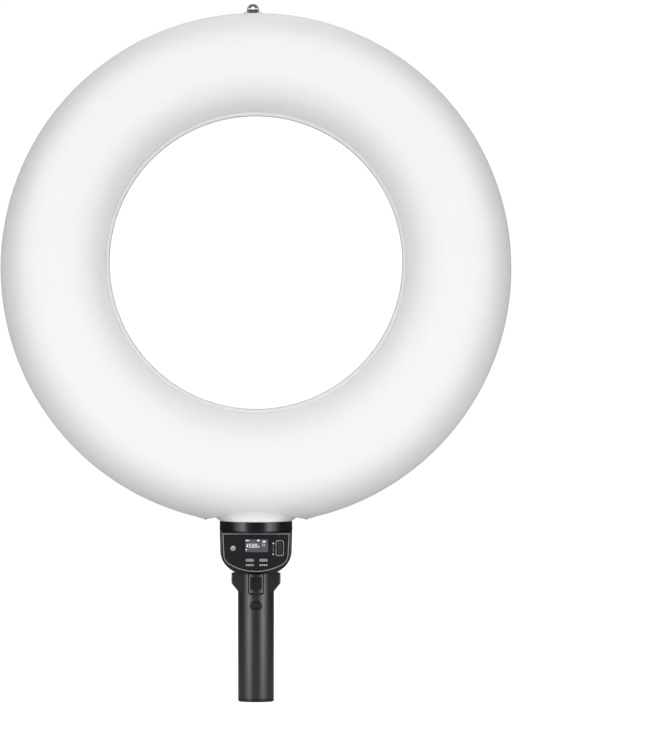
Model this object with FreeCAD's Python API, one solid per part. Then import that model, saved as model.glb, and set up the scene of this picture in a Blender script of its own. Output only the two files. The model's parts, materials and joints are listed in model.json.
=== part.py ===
import FreeCAD
import Part
import math
import os

# LED ring light on a battery handle that comes off at a latch.
# Millimetres. +Z is up along the handle, -Y is the lit front, +X is to the right seen from the front.
# The origin is the mouth of the tripod thread under the handle.

V = FreeCAD.Vector
X_AXIS = V(1, 0, 0)
Y_AXIS = V(0, 1, 0)
Z_AXIS = V(0, 0, 1)

# Gaps
slip = 0.3             # between pieces that move past each other
seat_gap = 0.15        # between fixed pieces that are pushed together
shaft_gap = 0.05       # radial, pin in a running hole

# Ring
ring_r = 237.5         # outer radius
ring_dip = 2.6         # the ring's lowest point lies this far below the top of the band
hole_r = 136.5         # central hole
hole_rise = 5.3        # the hole's centre lies this far above the ring's
dome_depth = 38.0      # flat crown in front of the seam
dome_round = min(0.3565 * (ring_r - hole_r), dome_depth - 2)   # radius of the dome's outer edge
flare_round = 0.4653 * (ring_r - hole_r)                       # radius of the dome's slope into the hole
flare_turn = 50.0      # degrees that the slope turns through
lip_width = 3.4        # housing lip between the dome and the hole
diffuser_wall = 2.0
housing_depth = 25.0   # rear housing behind the seam
housing_wall = 2.5
back_round = 12.0      # outer back corner
hole_round = 6.0       # back corner of the hole

# Light engine
carrier_thick = 1.2
carrier_margin = 5.0   # from the carrier's edges to the walls of the ring
board_thick = 1.2
board_width = 40.0
board_count = 4
board_gap = 1.5        # degrees between two boards
led_size = 5.0
led_height = 1.6
led_rows = 2
leds_per_row = 24
led_row_gap = 20.0
post_r = 4.0           # posts of the rear housing that carry the light engine
post_count = 8
screw_r = 1.5
screw_head_r = 2.8
screw_head_height = 1.8

# Saddle, the flared neck between ring and control box
neck_inset = 0.25      # the neck's lower end stands in from the box's side
flare_bowl = 4.0       # the neck first swells by this much to the sides, like a bowl
flare_bowl_rise = 2.7
flare_bowl_depth = 32.0  # half-depth there
flare_height = 11.3
flare_half_width = 43.8
flare_half_depth = 26.6
saddle_gap = 0.06      # between the flare and the ring that it is seated in
flare_back = 2.3       # the top of the flare sits this much further forward than the neck
saddle_bore_r = 13.0
neck_screw_x = 22.5
neck_screw_y = 8.0
neck_screw_reach = 7.0
relief_r = 37.6        # relief round the neck under the ring
relief_outer_r = 47.0
relief_height = 4.6    # above the band
relief_fall = 2.9
skirt_near = 46.3      # the ring's lower edge leaves the circle between these half-widths
skirt_far = 56.0
skirt_drop = 1.1       # below the circle at the near end
skirt_depth = 12.0
flange_thick = 3.0
flange_half_width = 50.0
flange_half_depth = 19.0
tang_width = 44.0
tang_height = 34.0
tang_thick = 3.0

# Control box
band_height = 8.9
band_top_proud = 0.1   # beyond the box's side
band_bottom_proud = 0.3
band_edge = 0.4        # bevel at the band's lower edge
band_bore_r = 29.0
shadow_gap = 0.5       # dark line between band and box
box_height = 37.4
box_top_half = 33.55
box_half = 33.1        # half-width where the round bottom starts
box_round_rise = 20.3  # height of that point above the bottom
box_side_round = 21.0  # first radius of the bottom, at the sides
box_foot_round = 40.0  # second radius, under the box
box_front = 24.0
box_back = 26.0
box_corner = 3.0
box_back_corner = 20.0
box_back_round = 24.0  # radius that draws the back in towards the handle
box_wall = 2.5
box_seam = 4.0         # y of the seam between front housing and rear cover

# Panel on the flat front
panel_top_gap = 1.6    # from the top of the box
panel_top_half = 31.0
panel_half = 30.0
panel_round_rise = 16.6
panel_side_round = 11.0
panel_foot_round = 49.7
panel_depth = 0.9      # recess that the overlay fills
trim_width = 0.55
trim_proud = 0.2

display_x = 0.6
display_rise = 24.65   # centre above the bottom of the box
display_width = 21.7
display_height = 12.5
display_rim = 1.8      # frame round the glass, behind the wall
display_frame_depth = 2.5

power_x = -21.2
power_rise = 22.3
power_r = 2.9

pill_xs = (-5.8, 6.9)
pill_rise = 11.2
pill_width = 7.9
pill_height = 2.6
button_proud = 0.5
button_travel = 0.8
button_flange = 0.8    # the flange that keeps a button in
button_flange_thick = 1.0
switch_size = 4.0

wheel_x = 22.0
wheel_rise = 22.4
wheel_r = 9.3
wheel_sink = 6.9       # axle behind the panel
wheel_width = 4.2
wheel_teeth = 24
wheel_tooth_depth = 0.5
axle_r = 1.25
ear_thick = 1.3
ear_gap = 0.4
bezel_width = 7.5
bezel_height = 14.4
bezel_line = 0.6
bezel_proud = 0.25
bezel_thick = 0.55
bezel_corner = 1.8

control_board_thick = 1.6
driver_board_thick = 1.6
driver_half_width = 22.0
driver_height = 27.0
driver_rise = 5.0
cover_post_r = 2.4
cover_posts = ((-15.8, 33.8), (15.8, 33.8), (-16.0, 9.0), (16.0, 9.0))   # x, height above the bottom
cover_head_r = 2.3
cover_seat_y = 18.0
connector_rise = 25.0
connector_size = (8.0, 4.4, 6.0)
connector_x = 8.0
harness_r = 1.6
led_connector_gap = 2.15      # from the ring's boards down to the connector

# Dock between control box and handle
dock_gap = 0.2         # between collar and plinth flange
neck_flange_half = 20.3
neck_flange_depth = 24.0
neck_flange_height = 1.4
neck_flange_corner = 3.5
tongue_width = 23.4
tongue_depth = 15.4
tongue_length = 14.2
tongue_corner = 5.0
tongue_wall = 2.4
tongue_side_wall = 5.0
tongue_front_wall = 3.5
plinth_screw_x = 9.2
plinth_screw_y = 4.2
notch_half_width = 5.0
notch_height = 4.0
notch_depth = 1.5
notch_rise = 7.2       # from the tongue's end up to the notch
contact_xs = (-9.0, -3.0, 3.0, 9.0)
contact_r = 1.4
contact_height = 0.4
contact_pin_r = 0.8

# Handle
cap_height = 2.3
grip_r = 16.7
grip_wall = 2.3
grip_edge = 0.4        # bevel at the grip's lower end
collar_half = 22.8
collar_half_depth = 12.0
collar_corner = 1.2    # of the collar's two side lobes
collar_side_height = 8.8
collar_taper_height = 8.4
collar_wall = 2.0
cavity_corner = 1.5
collar_chamfer = 0.6
socket_depth = 21.3    # depth of the collar's cavity
socket_floor = 3.0

latch_slot_half = 7.3
latch_slot_height = 19.7
latch_slot_corner = 2.4
latch_gap = 0.85       # dark gap at the lever's sides
latch_half_height = 9.1
latch_pivot_drop = 9.8  # below the collar's top
latch_pivot_y = -12.9
latch_thick = 4.3
latch_bevel = 0.15
latch_proud = 0.2
latch_lip_height = 4.0
latch_lip_proud = 0.9
latch_claw = 0.5
latch_pin_r = 0.8
latch_pin_half = 9.0
latch_ear_r = 1.8
latch_ear_width = 1.85
pad_half_width = 5.45
pad_height = 11.6
pad_thick = 1.0
pad_ribs = 5
pad_rib_depth = 0.35
leaf_half_width = 4.0
leaf_thick = 0.4
leaf_y = -11.3         # middle of the flat part
leaf_tip_y = -6.95
leaf_foot = 3.0

usb_recess_width = 11.4
usb_recess_height = 8.5
usb_recess_depth = 1.2
usb_step_width = 9.4
usb_step_height = 5.6
usb_step_proud = 0.5
usb_bevel_width = 0.45  # the step's edge slopes back all round
usb_bevel_depth = 0.2
usb_shell_width = 8.94
usb_shell_height = 3.26
usb_shell_wall = 0.35
usb_shell_length = 7.8
usb_tongue_width = 6.7
usb_tongue_thick = 0.7

cap_plug_length = 8.0
cap_edge_chamfer = 0.8
bush_r = 6.5
bush_length = 9.2
thread_r = 3.175
thread_depth = 8.5
cap_screw_r = 1.0
cap_screw_head_r = 1.9
cap_screw_circle = 10.6
cap_screw_count = 3
cell_r = 13.1
cell_length = 65.6
cell_tip_r = 4.0
holder_thick = 3.0
charge_board_y = -8.0
charge_board_half = 10.5
charge_board_height = 14.0
charge_board_low_gap = 1.7    # over the cell's holder
charge_board_high_gap = 1.4   # under the dock socket

# Top loop
loop_x = -2.8          # left of the middle
loop_y = 7.0           # behind the seam, on the rear housing
loop_plate_width = 18.0
loop_plate_depth = 11.0
loop_plate_thick = 1.8
loop_plate_proud = 0.3
loop_pivot_rise = 2.2  # above the ring
loop_barrel_r = 1.6
loop_half = 5.7
loop_height = 6.6      # from the pivot to the top
loop_leg = 1.1
loop_thick = 3.0
loop_hole_r = 1.5
loop_hole_rise = 2.7
loop_hole_flare = 0.35  # the hole widens this much on each side, down to the slot
loop_pin_r = 0.7
loop_screw_x = 7.2
loop_screw_r = 0.8
loop_screw_length = 5.0
loop_screw_head_r = 1.4

# Widths that follow
neck_r = box_top_half - neck_inset
band_top_r = box_top_half + band_top_proud
band_bottom_r = box_top_half + band_bottom_proud

# Heights that follow
cell_low = cap_height + cap_plug_length + holder_thick
cell_high = cell_low + cell_length
usb_height = cell_high + holder_thick - 1 + charge_board_low_gap + charge_board_height / 2
collar_top = usb_height + charge_board_height / 2 + charge_board_high_gap + socket_depth
grip_length = collar_top - cap_height
box_bottom = collar_top + dock_gap + neck_flange_height
box_top = box_bottom + box_height
band_bottom = box_top + shadow_gap
band_top = band_bottom + band_height
ring_z = band_top + ring_r - ring_dip
hole_z = ring_z + hole_rise
engine_z = ring_z + hole_rise / 2
ring_top = ring_z + ring_r

front = -box_front
panel_floor = front + panel_depth
wall_inside = front + box_wall

PARTS = "parts"
os.makedirs(PARTS, exist_ok=True)


def save(name, *solids):
    """Write one node; several solids stay separate."""
    shape = solids[0] if len(solids) == 1 else Part.makeCompound(list(solids))
    shape.exportStep(os.path.join(PARTS, name + ".step"))


def front_plane(x, z):
    return V(x, 0, z)


def side_plane(y, z):
    return V(0, y, z)


def plan_plane(x, y):
    return V(x, y, 0)


def outline(plane, start, *steps):
    """A closed face: each step is a point, or a middle point and an end point of an arc."""
    edges = []
    here = start
    for step in list(steps) + [start]:
        if isinstance(step[0], tuple):
            middle, end = step
            edges.append(Part.Arc(plane(*here), plane(*middle), plane(*end)).toShape())
            here = end
        elif step != here:
            edges.append(Part.LineSegment(plane(*here), plane(*step)).toShape())
            here = step
    return Part.Face(Part.Wire(edges))


def on_arc(centre, radius, degrees):
    """A point of a circle in whichever plane is in use."""
    turn = math.radians(degrees)
    return (centre[0] + radius * math.cos(turn), centre[1] + radius * math.sin(turn))


def box(low, high):
    size = [b - a for a, b in zip(low, high)]
    return Part.makeBox(*size, V(*low))


def rod(start, axis, radius, length):
    return Part.makeCylinder(radius, length, V(*start), axis)


def join(*solids):
    """Fuse pieces into one solid without the leftover seams."""
    return solids[0].multiFuse(list(solids[1:])).removeSplitter()


def cut(solid, *tools):
    return solid.cut(Part.makeCompound(list(tools)) if len(tools) > 1 else tools[0])


def cross_recess(start, axis, head_r):
    """The cross that a screwdriver turns, sunk along the axis from the head's top."""
    blade = 0.36 * head_r
    depth = 0.45 * head_r
    arms = []
    for turn in (0, 90):
        arm = Part.makeBox(1.3 * head_r, blade, depth, V(-0.65 * head_r, -blade / 2, 0))
        arm.rotate(V(0, 0, 0), Z_AXIS, turn)
        arms.append(arm)
    cross = arms[0].fuse(arms[1])
    cross.Placement = FreeCAD.Placement(V(*start), FreeCAD.Rotation(Z_AXIS, axis))
    return cross


def spin_y(face, z):
    """Turn a profile (radius, y) round the Y axis at height z."""
    solid = face.revolve(V(0, 0, 0), Y_AXIS, 360)
    solid.translate(V(0, 0, z))
    return solid


def rounded_slab(width, height, corner, plane):
    """A rounded rectangle face centred on the plane's origin."""
    w = width / 2
    h = height / 2
    c = min(corner, w - 0.01, h - 0.01)
    return outline(
        plane, (-w + c, -h), (w - c, -h), (on_arc((w - c, -h + c), c, -45), (w, -h + c)),
        (w, h - c), (on_arc((w - c, h - c), c, 45), (w - c, h)),
        (-w + c, h), (on_arc((-w + c, h - c), c, 135), (-w, h - c)),
        (-w, -h + c), (on_arc((-w + c, -h + c), c, 225), (-w + c, -h)))


def front_slab(x, z, width, height, corner, y_from, y_to):
    """A rounded rectangle seen from the front, from y_from back to y_to."""
    face = rounded_slab(width, height, corner, front_plane)
    face.translate(V(x, y_from, z))
    return face.extrude(V(0, y_to - y_from, 0))


def plan_slab(width, depth, corner, z_from, z_to):
    """A rounded rectangle seen from above, between two heights."""
    face = rounded_slab(width, depth, corner, plan_plane)
    face.translate(V(0, 0, z_from))
    return face.extrude(V(0, 0, z_to - z_from))


# Ring shells


def dome_body(inset):
    """The dome in front of the seam, drawn in by a wall's thickness."""
    edge = ring_r - inset
    crown = -dome_depth + inset
    radius = dome_round - inset
    centre = (ring_r - dome_round, -dome_depth + dome_round)
    profile = outline(
        plan_plane, (0, 0), (edge, 0), (edge, centre[1]),
        (on_arc(centre, radius, -45), (centre[0], crown)), (0, crown))
    return spin_y(profile, ring_z)


def flare_cutter(inset):
    """What the slope round the hole takes off the dome; it narrows to the lip and then runs straight."""
    lip_r = hole_r + lip_width
    start_r = lip_r + flare_round * math.sin(math.radians(flare_turn))
    centre = (start_r, -dome_depth + flare_round)
    radius = flare_round - inset
    crown = centre[1] - radius
    end_y = centre[1] - math.sqrt(radius ** 2 - (start_r - lip_r) ** 2)
    middle = on_arc(centre, radius, -90 - flare_turn / 2)
    profile = outline(
        plan_plane, (0, crown - 20), (start_r, crown - 20), (start_r, crown),
        (middle, (lip_r, end_y)), (lip_r, 1), (0, 1))
    return spin_y(profile, hole_z)


def dome_cavity(inset):
    """The inside of the dome, as short cones: nothing shows there."""
    edge = ring_r - inset
    radius = dome_round - inset
    centre = (ring_r - dome_round, -dome_depth + dome_round)
    crown = centre[1] - radius
    profile = outline(
        plan_plane, (0, 1), (edge, 1), (edge, centre[1]), on_arc(centre, radius, -30),
        on_arc(centre, radius, -60), (centre[0], crown), (0, crown))
    slope_r = hole_r + lip_width + flare_round * math.sin(math.radians(flare_turn))
    slope_centre = (slope_r, -dome_depth + flare_round)
    slope = flare_round - inset
    core_r = hole_r + lip_width + inset
    reach = math.degrees(math.asin((slope_r - core_r) / slope))
    core = outline(
        plan_plane, (0, crown - 20), (slope_r, crown - 20), (slope_r, crown),
        on_arc(slope_centre, slope, -90 - reach / 2), on_arc(slope_centre, slope, -90 - reach),
        (core_r, 2), (0, 2))
    return spin_y(profile, ring_z).cut(spin_y(core, hole_z))


def lip_front():
    """y of the edge where dome and lip meet."""
    return -dome_depth + flare_round * (1 - math.cos(math.radians(flare_turn)))


def housing_body():
    """Rear housing without its saddle seat: back wall, outer wall, hole wall and lip."""
    back = housing_depth
    corner = (ring_r - back_round, back - back_round)
    shell = spin_y(outline(
        plan_plane, (0, 0), (ring_r, 0), (ring_r, corner[1]),
        (on_arc(corner, back_round, 45), (corner[0], back)), (0, back)), ring_z)
    lip_y = lip_front()
    wall_r = hole_r + housing_wall
    lip_r = hole_r + lip_width - seat_gap
    tube = spin_y(outline(
        plan_plane, (0, 0), (0, lip_y), (lip_r, lip_y), (lip_r, lip_y + housing_wall),
        (wall_r, lip_y + housing_wall + lip_r - wall_r), (wall_r, 0)), hole_z)
    hole_corner = (hole_r + hole_round, back - hole_round)
    hole = spin_y(outline(
        plan_plane, (0, lip_y - 1), (hole_r, lip_y - 1), (hole_r, hole_corner[1]),
        (on_arc(hole_corner, hole_round, 135), (hole_corner[0], back)), (hole_corner[0], back + 1),
        (0, back + 1)), hole_z)
    cavity = housing_cavity(housing_wall)
    core = rod((0, -2, hole_z), Y_AXIS, wall_r, back + 2)
    return cut(cut(join(shell, tube), cavity.cut(core)), hole)


def housing_cavity(inset):
    """Inside of the rear housing before the hole's wall is left standing in it."""
    return spin_y(outline(
        plan_plane, (0, -1), (ring_r - inset, -1), (ring_r - inset, housing_depth - back_round),
        (ring_r - back_round, housing_depth - inset), (0, housing_depth - inset)), ring_z)


def ring_inside(clearance):
    """Free space in the rear housing and the dome."""
    rear = housing_cavity(housing_wall + clearance)
    core = rod((0, -2, hole_z), Y_AXIS, hole_r + housing_wall + clearance, housing_depth + 4)
    return rear.cut(core).fuse(dome_cavity(max(diffuser_wall, housing_wall) + clearance))


# Saddle


def ellipse_wire(half_width, half_depth, y, z):
    """A level ellipse, wider in X than in Y."""
    curve = Part.Ellipse(V(0, y, z), half_width, half_depth)
    return Part.Wire([curve.toShape()])


def saddle_flare(grow):
    """The flared neck as a solid, from the band up into the ring."""
    low = ellipse_wire(neck_r + 0.01 + grow, neck_r + grow, 0, band_top)
    bowl = ellipse_wire(neck_r + flare_bowl + grow, flare_bowl_depth + grow, 0, band_top + flare_bowl_rise)
    high = ellipse_wire(flare_half_width + grow, flare_half_depth + grow, -flare_back,
                        band_top + flare_height)
    return Part.makeLoft([low, bowl, high], True, True)


def relief_cutter():
    """The shallow cone cut round the neck, under the ring."""
    top = band_top + relief_height
    profile = outline(
        front_plane, (0, band_top - 12), (relief_outer_r + 2, band_top - 12),
        (relief_outer_r, top - relief_fall), (relief_r, top), (0, top))
    return profile.revolve(V(0, 0, 0), Z_AXIS, 360)


def ring_skirt(side):
    """The low edge beside the neck, where the housing leaves its circle."""
    near_z = ring_z - math.sqrt(ring_r ** 2 - skirt_near ** 2) - skirt_drop
    far_z = ring_z - math.sqrt(ring_r ** 2 - skirt_far ** 2)
    high = far_z + 6
    face = outline(
        front_plane, (side * skirt_far, far_z), (side * skirt_near, near_z), (side * relief_r, near_z),
        (side * relief_r, high), (side * skirt_far, high))
    wedge = face.extrude(V(0, skirt_depth, 0))
    return wedge.cut(rod((0, -1, ring_z), Y_AXIS, ring_r - housing_wall / 2, skirt_depth + 2))


def engine_points(radius, count, first):
    """Points on a circle about the middle of the lit band."""
    for index in range(count):
        turn = math.radians(first + 360.0 * index / count)
        yield radius * math.cos(turn), engine_z + radius * math.sin(turn), math.degrees(turn)


lit_radius = (ring_r + hole_r) / 2
tang_y = housing_depth - housing_wall - seat_gap - tang_thick
tang_low = band_top + relief_height + 0.3
tang_holes = [(x, tang_low + tang_height - 7) for x in (-tang_width / 2 + 6, tang_width / 2 - 6)]
post_screws = list(engine_points(lit_radius, post_count, 22.5))
carrier_back = carrier_thick + 0.2


def make_ring():
    seat = saddle_flare(saddle_gap).fuse(relief_cutter())
    diffuser = dome_body(0).cut(flare_cutter(0)).cut(dome_cavity(diffuser_wall)).cut(seat)
    save("diffuser", diffuser)

    plate_seat = box((loop_x - loop_plate_width / 2, loop_y - loop_plate_depth / 2, ring_top - 5),
                     (loop_x + loop_plate_width / 2, loop_y + loop_plate_depth / 2, ring_top + 5))
    plate_seat.translate(V(0, 0, 5 + loop_plate_proud - loop_plate_thick))
    housing = join(housing_body(), ring_skirt(-1), ring_skirt(1)).cut(seat)
    posts = [rod((x, carrier_back, z), Y_AXIS, post_r, housing_depth - carrier_back - housing_wall / 2)
             for x, z, _ in post_screws]
    lug_block = box((loop_x - loop_plate_width / 2 - 2, 1, ring_top - 6.5),
                    (loop_x + loop_plate_width / 2 + 2, 14, ring_top - 1))
    lug_block = lug_block.common(rod((0, 0, ring_z), Y_AXIS, ring_r - 0.5, housing_depth - back_round))
    housing = join(housing, lug_block, *posts)
    holes = [rod((x, 0, z), Y_AXIS, screw_r, housing_depth + 1) for x, z, _ in post_screws]
    holes += [rod((x, tang_y, z), Y_AXIS, screw_r, housing_depth) for x, z in tang_holes]
    holes += [rod((loop_x + x, loop_y, ring_top - 10), Z_AXIS, loop_screw_r, 20)
              for x in (-loop_screw_x, loop_screw_x)]
    heads = [rod((x, housing_depth - screw_head_height, z), Y_AXIS, screw_head_r + seat_gap, 5)
             for x, z in [(x, z) for x, z, _ in post_screws] + tang_holes]
    save("rear_housing", cut(housing, plate_seat, *holes, *heads))

    def screw(x, z, tip_y):
        head = rod((x, housing_depth - screw_head_height, z), Y_AXIS, screw_head_r, screw_head_height)
        shank = rod((x, tip_y, z), Y_AXIS, screw_r - shaft_gap, housing_depth - 1 - tip_y)
        return head.fuse(shank).cut(cross_recess((x, housing_depth, z), V(0, -1, 0), screw_head_r))

    save("housing_screws", *[screw(x, z, carrier_back - carrier_thick) for x, z, _ in post_screws])
    save("saddle_screws", *[screw(x, z, tang_y) for x, z in tang_holes])


def make_light_engine():
    outer = rod((0, carrier_back - carrier_thick, ring_z), Y_AXIS, ring_r - housing_wall - carrier_margin,
                carrier_thick)
    inner = rod((0, -2, hole_z), Y_AXIS, hole_r + housing_wall + carrier_margin, 6)
    keep_clear = box((-flange_half_width - 6, -2, 0), (flange_half_width + 6, 6, band_top + flare_height + 8))
    holes = [rod((x, -2, z), Y_AXIS, screw_r, 6) for x, z, _ in post_screws]
    save("led_carrier", cut(outer, inner, keep_clear, *holes))

    board_front = carrier_back - carrier_thick - board_thick
    boards = []
    sweep = 360.0 / board_count - board_gap
    for index in range(board_count):
        start = 45.0 + board_gap / 2 + 360.0 * index / board_count
        ring = Part.makeCylinder(lit_radius + board_width / 2, board_thick, V(0, 0, 0), Z_AXIS, sweep)
        ring = ring.cut(Part.makeCylinder(lit_radius - board_width / 2, board_thick, V(0, 0, 0), Z_AXIS))
        ring.rotate(V(0, 0, 0), Z_AXIS, start)
        ring.rotate(V(0, 0, 0), X_AXIS, -90)
        ring.translate(V(0, board_front, engine_z))
        boards.append(ring.cut(Part.makeCompound(holes)))
    save("led_boards", *boards)

    leds = []
    for row in range(led_rows):
        radius = lit_radius + (row - (led_rows - 1) / 2) * led_row_gap
        for x, z, turn in engine_points(radius, leds_per_row, 7.5):
            led = box((-led_size / 2, board_front - led_height, -led_size / 2),
                      (led_size / 2, board_front, led_size / 2))
            led.rotate(V(0, 0, 0), Y_AXIS, -turn)
            led.translate(V(x, 0, z))
            leds.append(led)
    save("led_packages", *leds)


def make_saddle():
    flange = Part.Face(ellipse_wire(flange_half_width, flange_half_depth, 0, tang_low)).extrude(
        V(0, 0, flange_thick))
    tang = box((-tang_width / 2, tang_y, tang_low),
               (tang_width / 2, tang_y + tang_thick, tang_low + tang_height))
    inner_part = flange.fuse(tang).common(ring_inside(seat_gap))
    bore = rod((0, 0, band_top - 1), Z_AXIS, saddle_bore_r, 30)
    neck = saddle_flare(0).cut(tang_back_cutter()).cut(bore)
    saddle = join(neck, inner_part.cut(bore))
    holes = [rod((x, tang_y - 1, z), Y_AXIS, screw_r, 10) for x, z in tang_holes]
    holes += [rod((x, y, band_top - 1), Z_AXIS, screw_r, neck_screw_reach + 1) for x, y in neck_screw_points]
    save("saddle", cut(saddle, *holes))


def tang_back_cutter():
    """The flare ends inside the ring, just under the light engine."""
    top = band_top + flare_height - 1
    return box((-80, -80, top), (80, 80, top + 40))


neck_screw_points = [(x, y) for x in (-neck_screw_x, neck_screw_x) for y in (-neck_screw_y, neck_screw_y)]


# Control box


def rounded_foot(top_half, half, side_round, foot_round, centre_z, top, low=None):
    """Front view with straight sides over two tangent radii. The foot is cut flat at low, if given."""
    foot_z = centre_z + math.sqrt((foot_round - side_round) ** 2 - (half - side_round) ** 2)
    lean = math.degrees(math.atan2(centre_z - foot_z, half - side_round))
    side_centre = (half - side_round, centre_z)
    meet = on_arc(side_centre, side_round, lean)
    side_middle = on_arc(side_centre, side_round, lean / 2)
    if low is None:
        bottom = [((0, foot_z - foot_round), (-meet[0], meet[1]))]
    else:
        foot_half = math.sqrt(foot_round ** 2 - (foot_z - low) ** 2)
        reach = math.degrees(math.atan2(low - foot_z, foot_half))
        middle = on_arc((0, foot_z), foot_round, (lean + reach) / 2)
        bottom = [(middle, (foot_half, low)), (-foot_half, low),
                  ((-middle[0], middle[1]), (-meet[0], meet[1]))]
    return outline(
        front_plane, (top_half, top), (half, centre_z), (side_middle, meet), *bottom,
        ((-side_middle[0], side_middle[1]), (-half, centre_z)), (-top_half, top))


def box_body(inset, top):
    """The control box as a solid: front view, plan and side view crossed."""
    low = box_bottom + inset
    centre_z = box_bottom + box_round_rise
    front_view = rounded_foot(box_top_half - inset, box_half - inset, box_side_round - inset,
                              box_foot_round - inset, centre_z, top, low)
    front_view.translate(V(0, -60, 0))
    half = box_top_half - inset
    flat = front + inset
    back = box_back - inset
    near = max(box_corner - inset, 0.3)
    far = box_back_corner - inset
    plan = outline(
        plan_plane, (half - near, flat), (on_arc((half - near, flat + near), near, 315), (half, flat + near)),
        (half, back - far), (on_arc((half - far, back - far), far, 45), (half - far, back)),
        (-half + far, back), (on_arc((-half + far, back - far), far, 135), (-half, back - far)),
        (-half, flat + near), (on_arc((-half + near, flat + near), near, 225), (-half + near, flat)))
    plan.translate(V(0, 0, box_bottom - 5))
    bend = box_back_round - inset
    bend_centre = (back - bend, centre_z)
    drop = math.degrees(math.asin((centre_z - low) / bend))
    side = outline(
        side_plane, (flat, low), on_arc(bend_centre, bend, -drop),
        (on_arc(bend_centre, bend, -drop / 2), (back, centre_z)), (back, top), (flat, top))
    side.translate(V(-60, 0, 0))
    crossed = front_view.extrude(V(0, 120, 0)).common(plan.extrude(V(0, 0, box_height + 20)))
    return crossed.common(side.extrude(V(120, 0, 0)))


def panel_prism(inset, y_from, y_to):
    """The panel's outline, drawn in by inset, from y_from back to y_to."""
    face = rounded_foot(panel_top_half - inset, panel_half - inset, panel_side_round - inset,
                        panel_foot_round - inset, box_bottom + panel_round_rise,
                        box_top - panel_top_gap - inset)
    face.translate(V(0, y_from, 0))
    return face.extrude(V(0, y_to - y_from, 0))


def pill(x, rise, width, height, y_from, y_to):
    return front_slab(x, box_bottom + rise, width, height, height / 2, y_from, y_to)


wheel_z = box_bottom + wheel_rise
wheel_y = front + wheel_sink
switch_face = wall_inside + slip + button_flange_thick + button_travel + 0.1
control_board_y = switch_face + 1.0
driver_board_y = box_seam - 3.0


def front_openings(gap, y_from, y_to, wheel_slot):
    """Holes for the display, the buttons and the wheel."""
    return [
        front_slab(display_x, box_bottom + display_rise, display_width + 2 * gap, display_height + 2 * gap,
                   0.6, y_from, y_to),
        rod((power_x, y_from, box_bottom + power_rise), Y_AXIS, power_r + gap, y_to - y_from),
        *[pill(x, pill_rise, pill_width + 2 * gap, pill_height + 2 * gap, y_from, y_to) for x in pill_xs],
        front_slab(wheel_x, wheel_z, wheel_width + 0.7, wheel_slot, 1.0, y_from, y_to)]


def wheel_chord(y):
    """Height of the wheel where the plane y cuts it."""
    return 2 * math.sqrt(wheel_r ** 2 - (wheel_y - y) ** 2)


def box_slice(y_from, y_to):
    """Everything of the control box between two depths."""
    return box((-box_top_half - 1, y_from, box_bottom - 1), (box_top_half + 1, y_to, box_top + 1))


def make_box_shells():
    outer = box_body(0, box_top)
    inner = box_body(box_wall, box_top - box_wall)
    shell = outer.cut(inner)
    shell = shell.cut(rod((0, 0, box_top - 5), Z_AXIS, saddle_bore_r, 10))
    neck_holes = [rod((x, y, box_top - 5), Z_AXIS, screw_r + seat_gap, 10) for x, y in neck_screw_points]
    shell = cut(shell, *neck_holes)
    plinth_holes = [rod((x, y, box_bottom - 1), Z_AXIS, screw_r, 5) for x, y in plinth_screw_points]
    cable_slot = plinth_hollow(box_bottom - 1, box_bottom + 5)
    shell = cut(shell, cable_slot, *plinth_holes)

    front_half = shell.common(box_slice(front - 1, box_seam))
    posts = [rod((x, wall_inside - 0.5, box_bottom + rise), Y_AXIS, cover_post_r,
                 driver_board_y - wall_inside + 0.5) for x, rise in cover_posts]
    ears = []
    for side in (-1, 1):
        near = wheel_x + side * (wheel_width / 2 + ear_gap)
        far = near + side * ear_thick
        ears.append(box((min(near, far), wall_inside - 0.5, wheel_z - 3.0),
                        (max(near, far), wheel_y + 3.0, wheel_z + 3.0)))
    front_half = join(front_half, *[p.common(outer) for p in posts], *ears)
    recess = panel_prism(0, front - 1, panel_floor)
    openings = front_openings(slip, front - 1, wall_inside + 0.6, wheel_chord(wall_inside) + 2 * slip)
    bores = [rod((x, wall_inside + 2, box_bottom + rise), Y_AXIS, screw_r, 40) for x, rise in cover_posts]
    bores.append(rod((wheel_x - 6, wheel_y, wheel_z), X_AXIS, axle_r, 12))
    save("front_housing", cut(front_half, recess, *openings, *bores))

    rear_half = shell.common(box_slice(box_seam + 0.05, box_back + 1))
    board_back = driver_board_y + driver_board_thick
    rear_posts = [rod((x, board_back, box_bottom + rise), Y_AXIS, cover_head_r + 1.0, box_back - board_back)
                  for x, rise in cover_posts]
    front_rim = outer.cut(box_body(box_wall + slip, box_top - box_wall - slip)).common(
        box_slice(front - 1, box_seam + 0.05))
    rear_half = join(rear_half, *[p.common(outer).cut(front_rim) for p in rear_posts])
    rear_bores = [rod((x, board_back - 1, box_bottom + rise), Y_AXIS, screw_r, 40) for x, rise in cover_posts]
    rear_bores += [rod((x, cover_seat_y, box_bottom + rise), Y_AXIS, cover_head_r + seat_gap, 40)
                   for x, rise in cover_posts]
    save("rear_cover", cut(rear_half, *rear_bores))

    screws = []
    for x, rise in cover_posts:
        head = rod((x, cover_seat_y, box_bottom + rise), Y_AXIS, cover_head_r, screw_head_height)
        shank = rod((x, driver_board_y - 8, box_bottom + rise), Y_AXIS, screw_r - shaft_gap,
                    cover_seat_y - driver_board_y + 8)
        recess = cross_recess(
            (x, cover_seat_y + screw_head_height, box_bottom + rise), V(0, -1, 0), cover_head_r)
        screws.append(head.fuse(shank).cut(recess))
    save("cover_screws", *screws)


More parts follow.
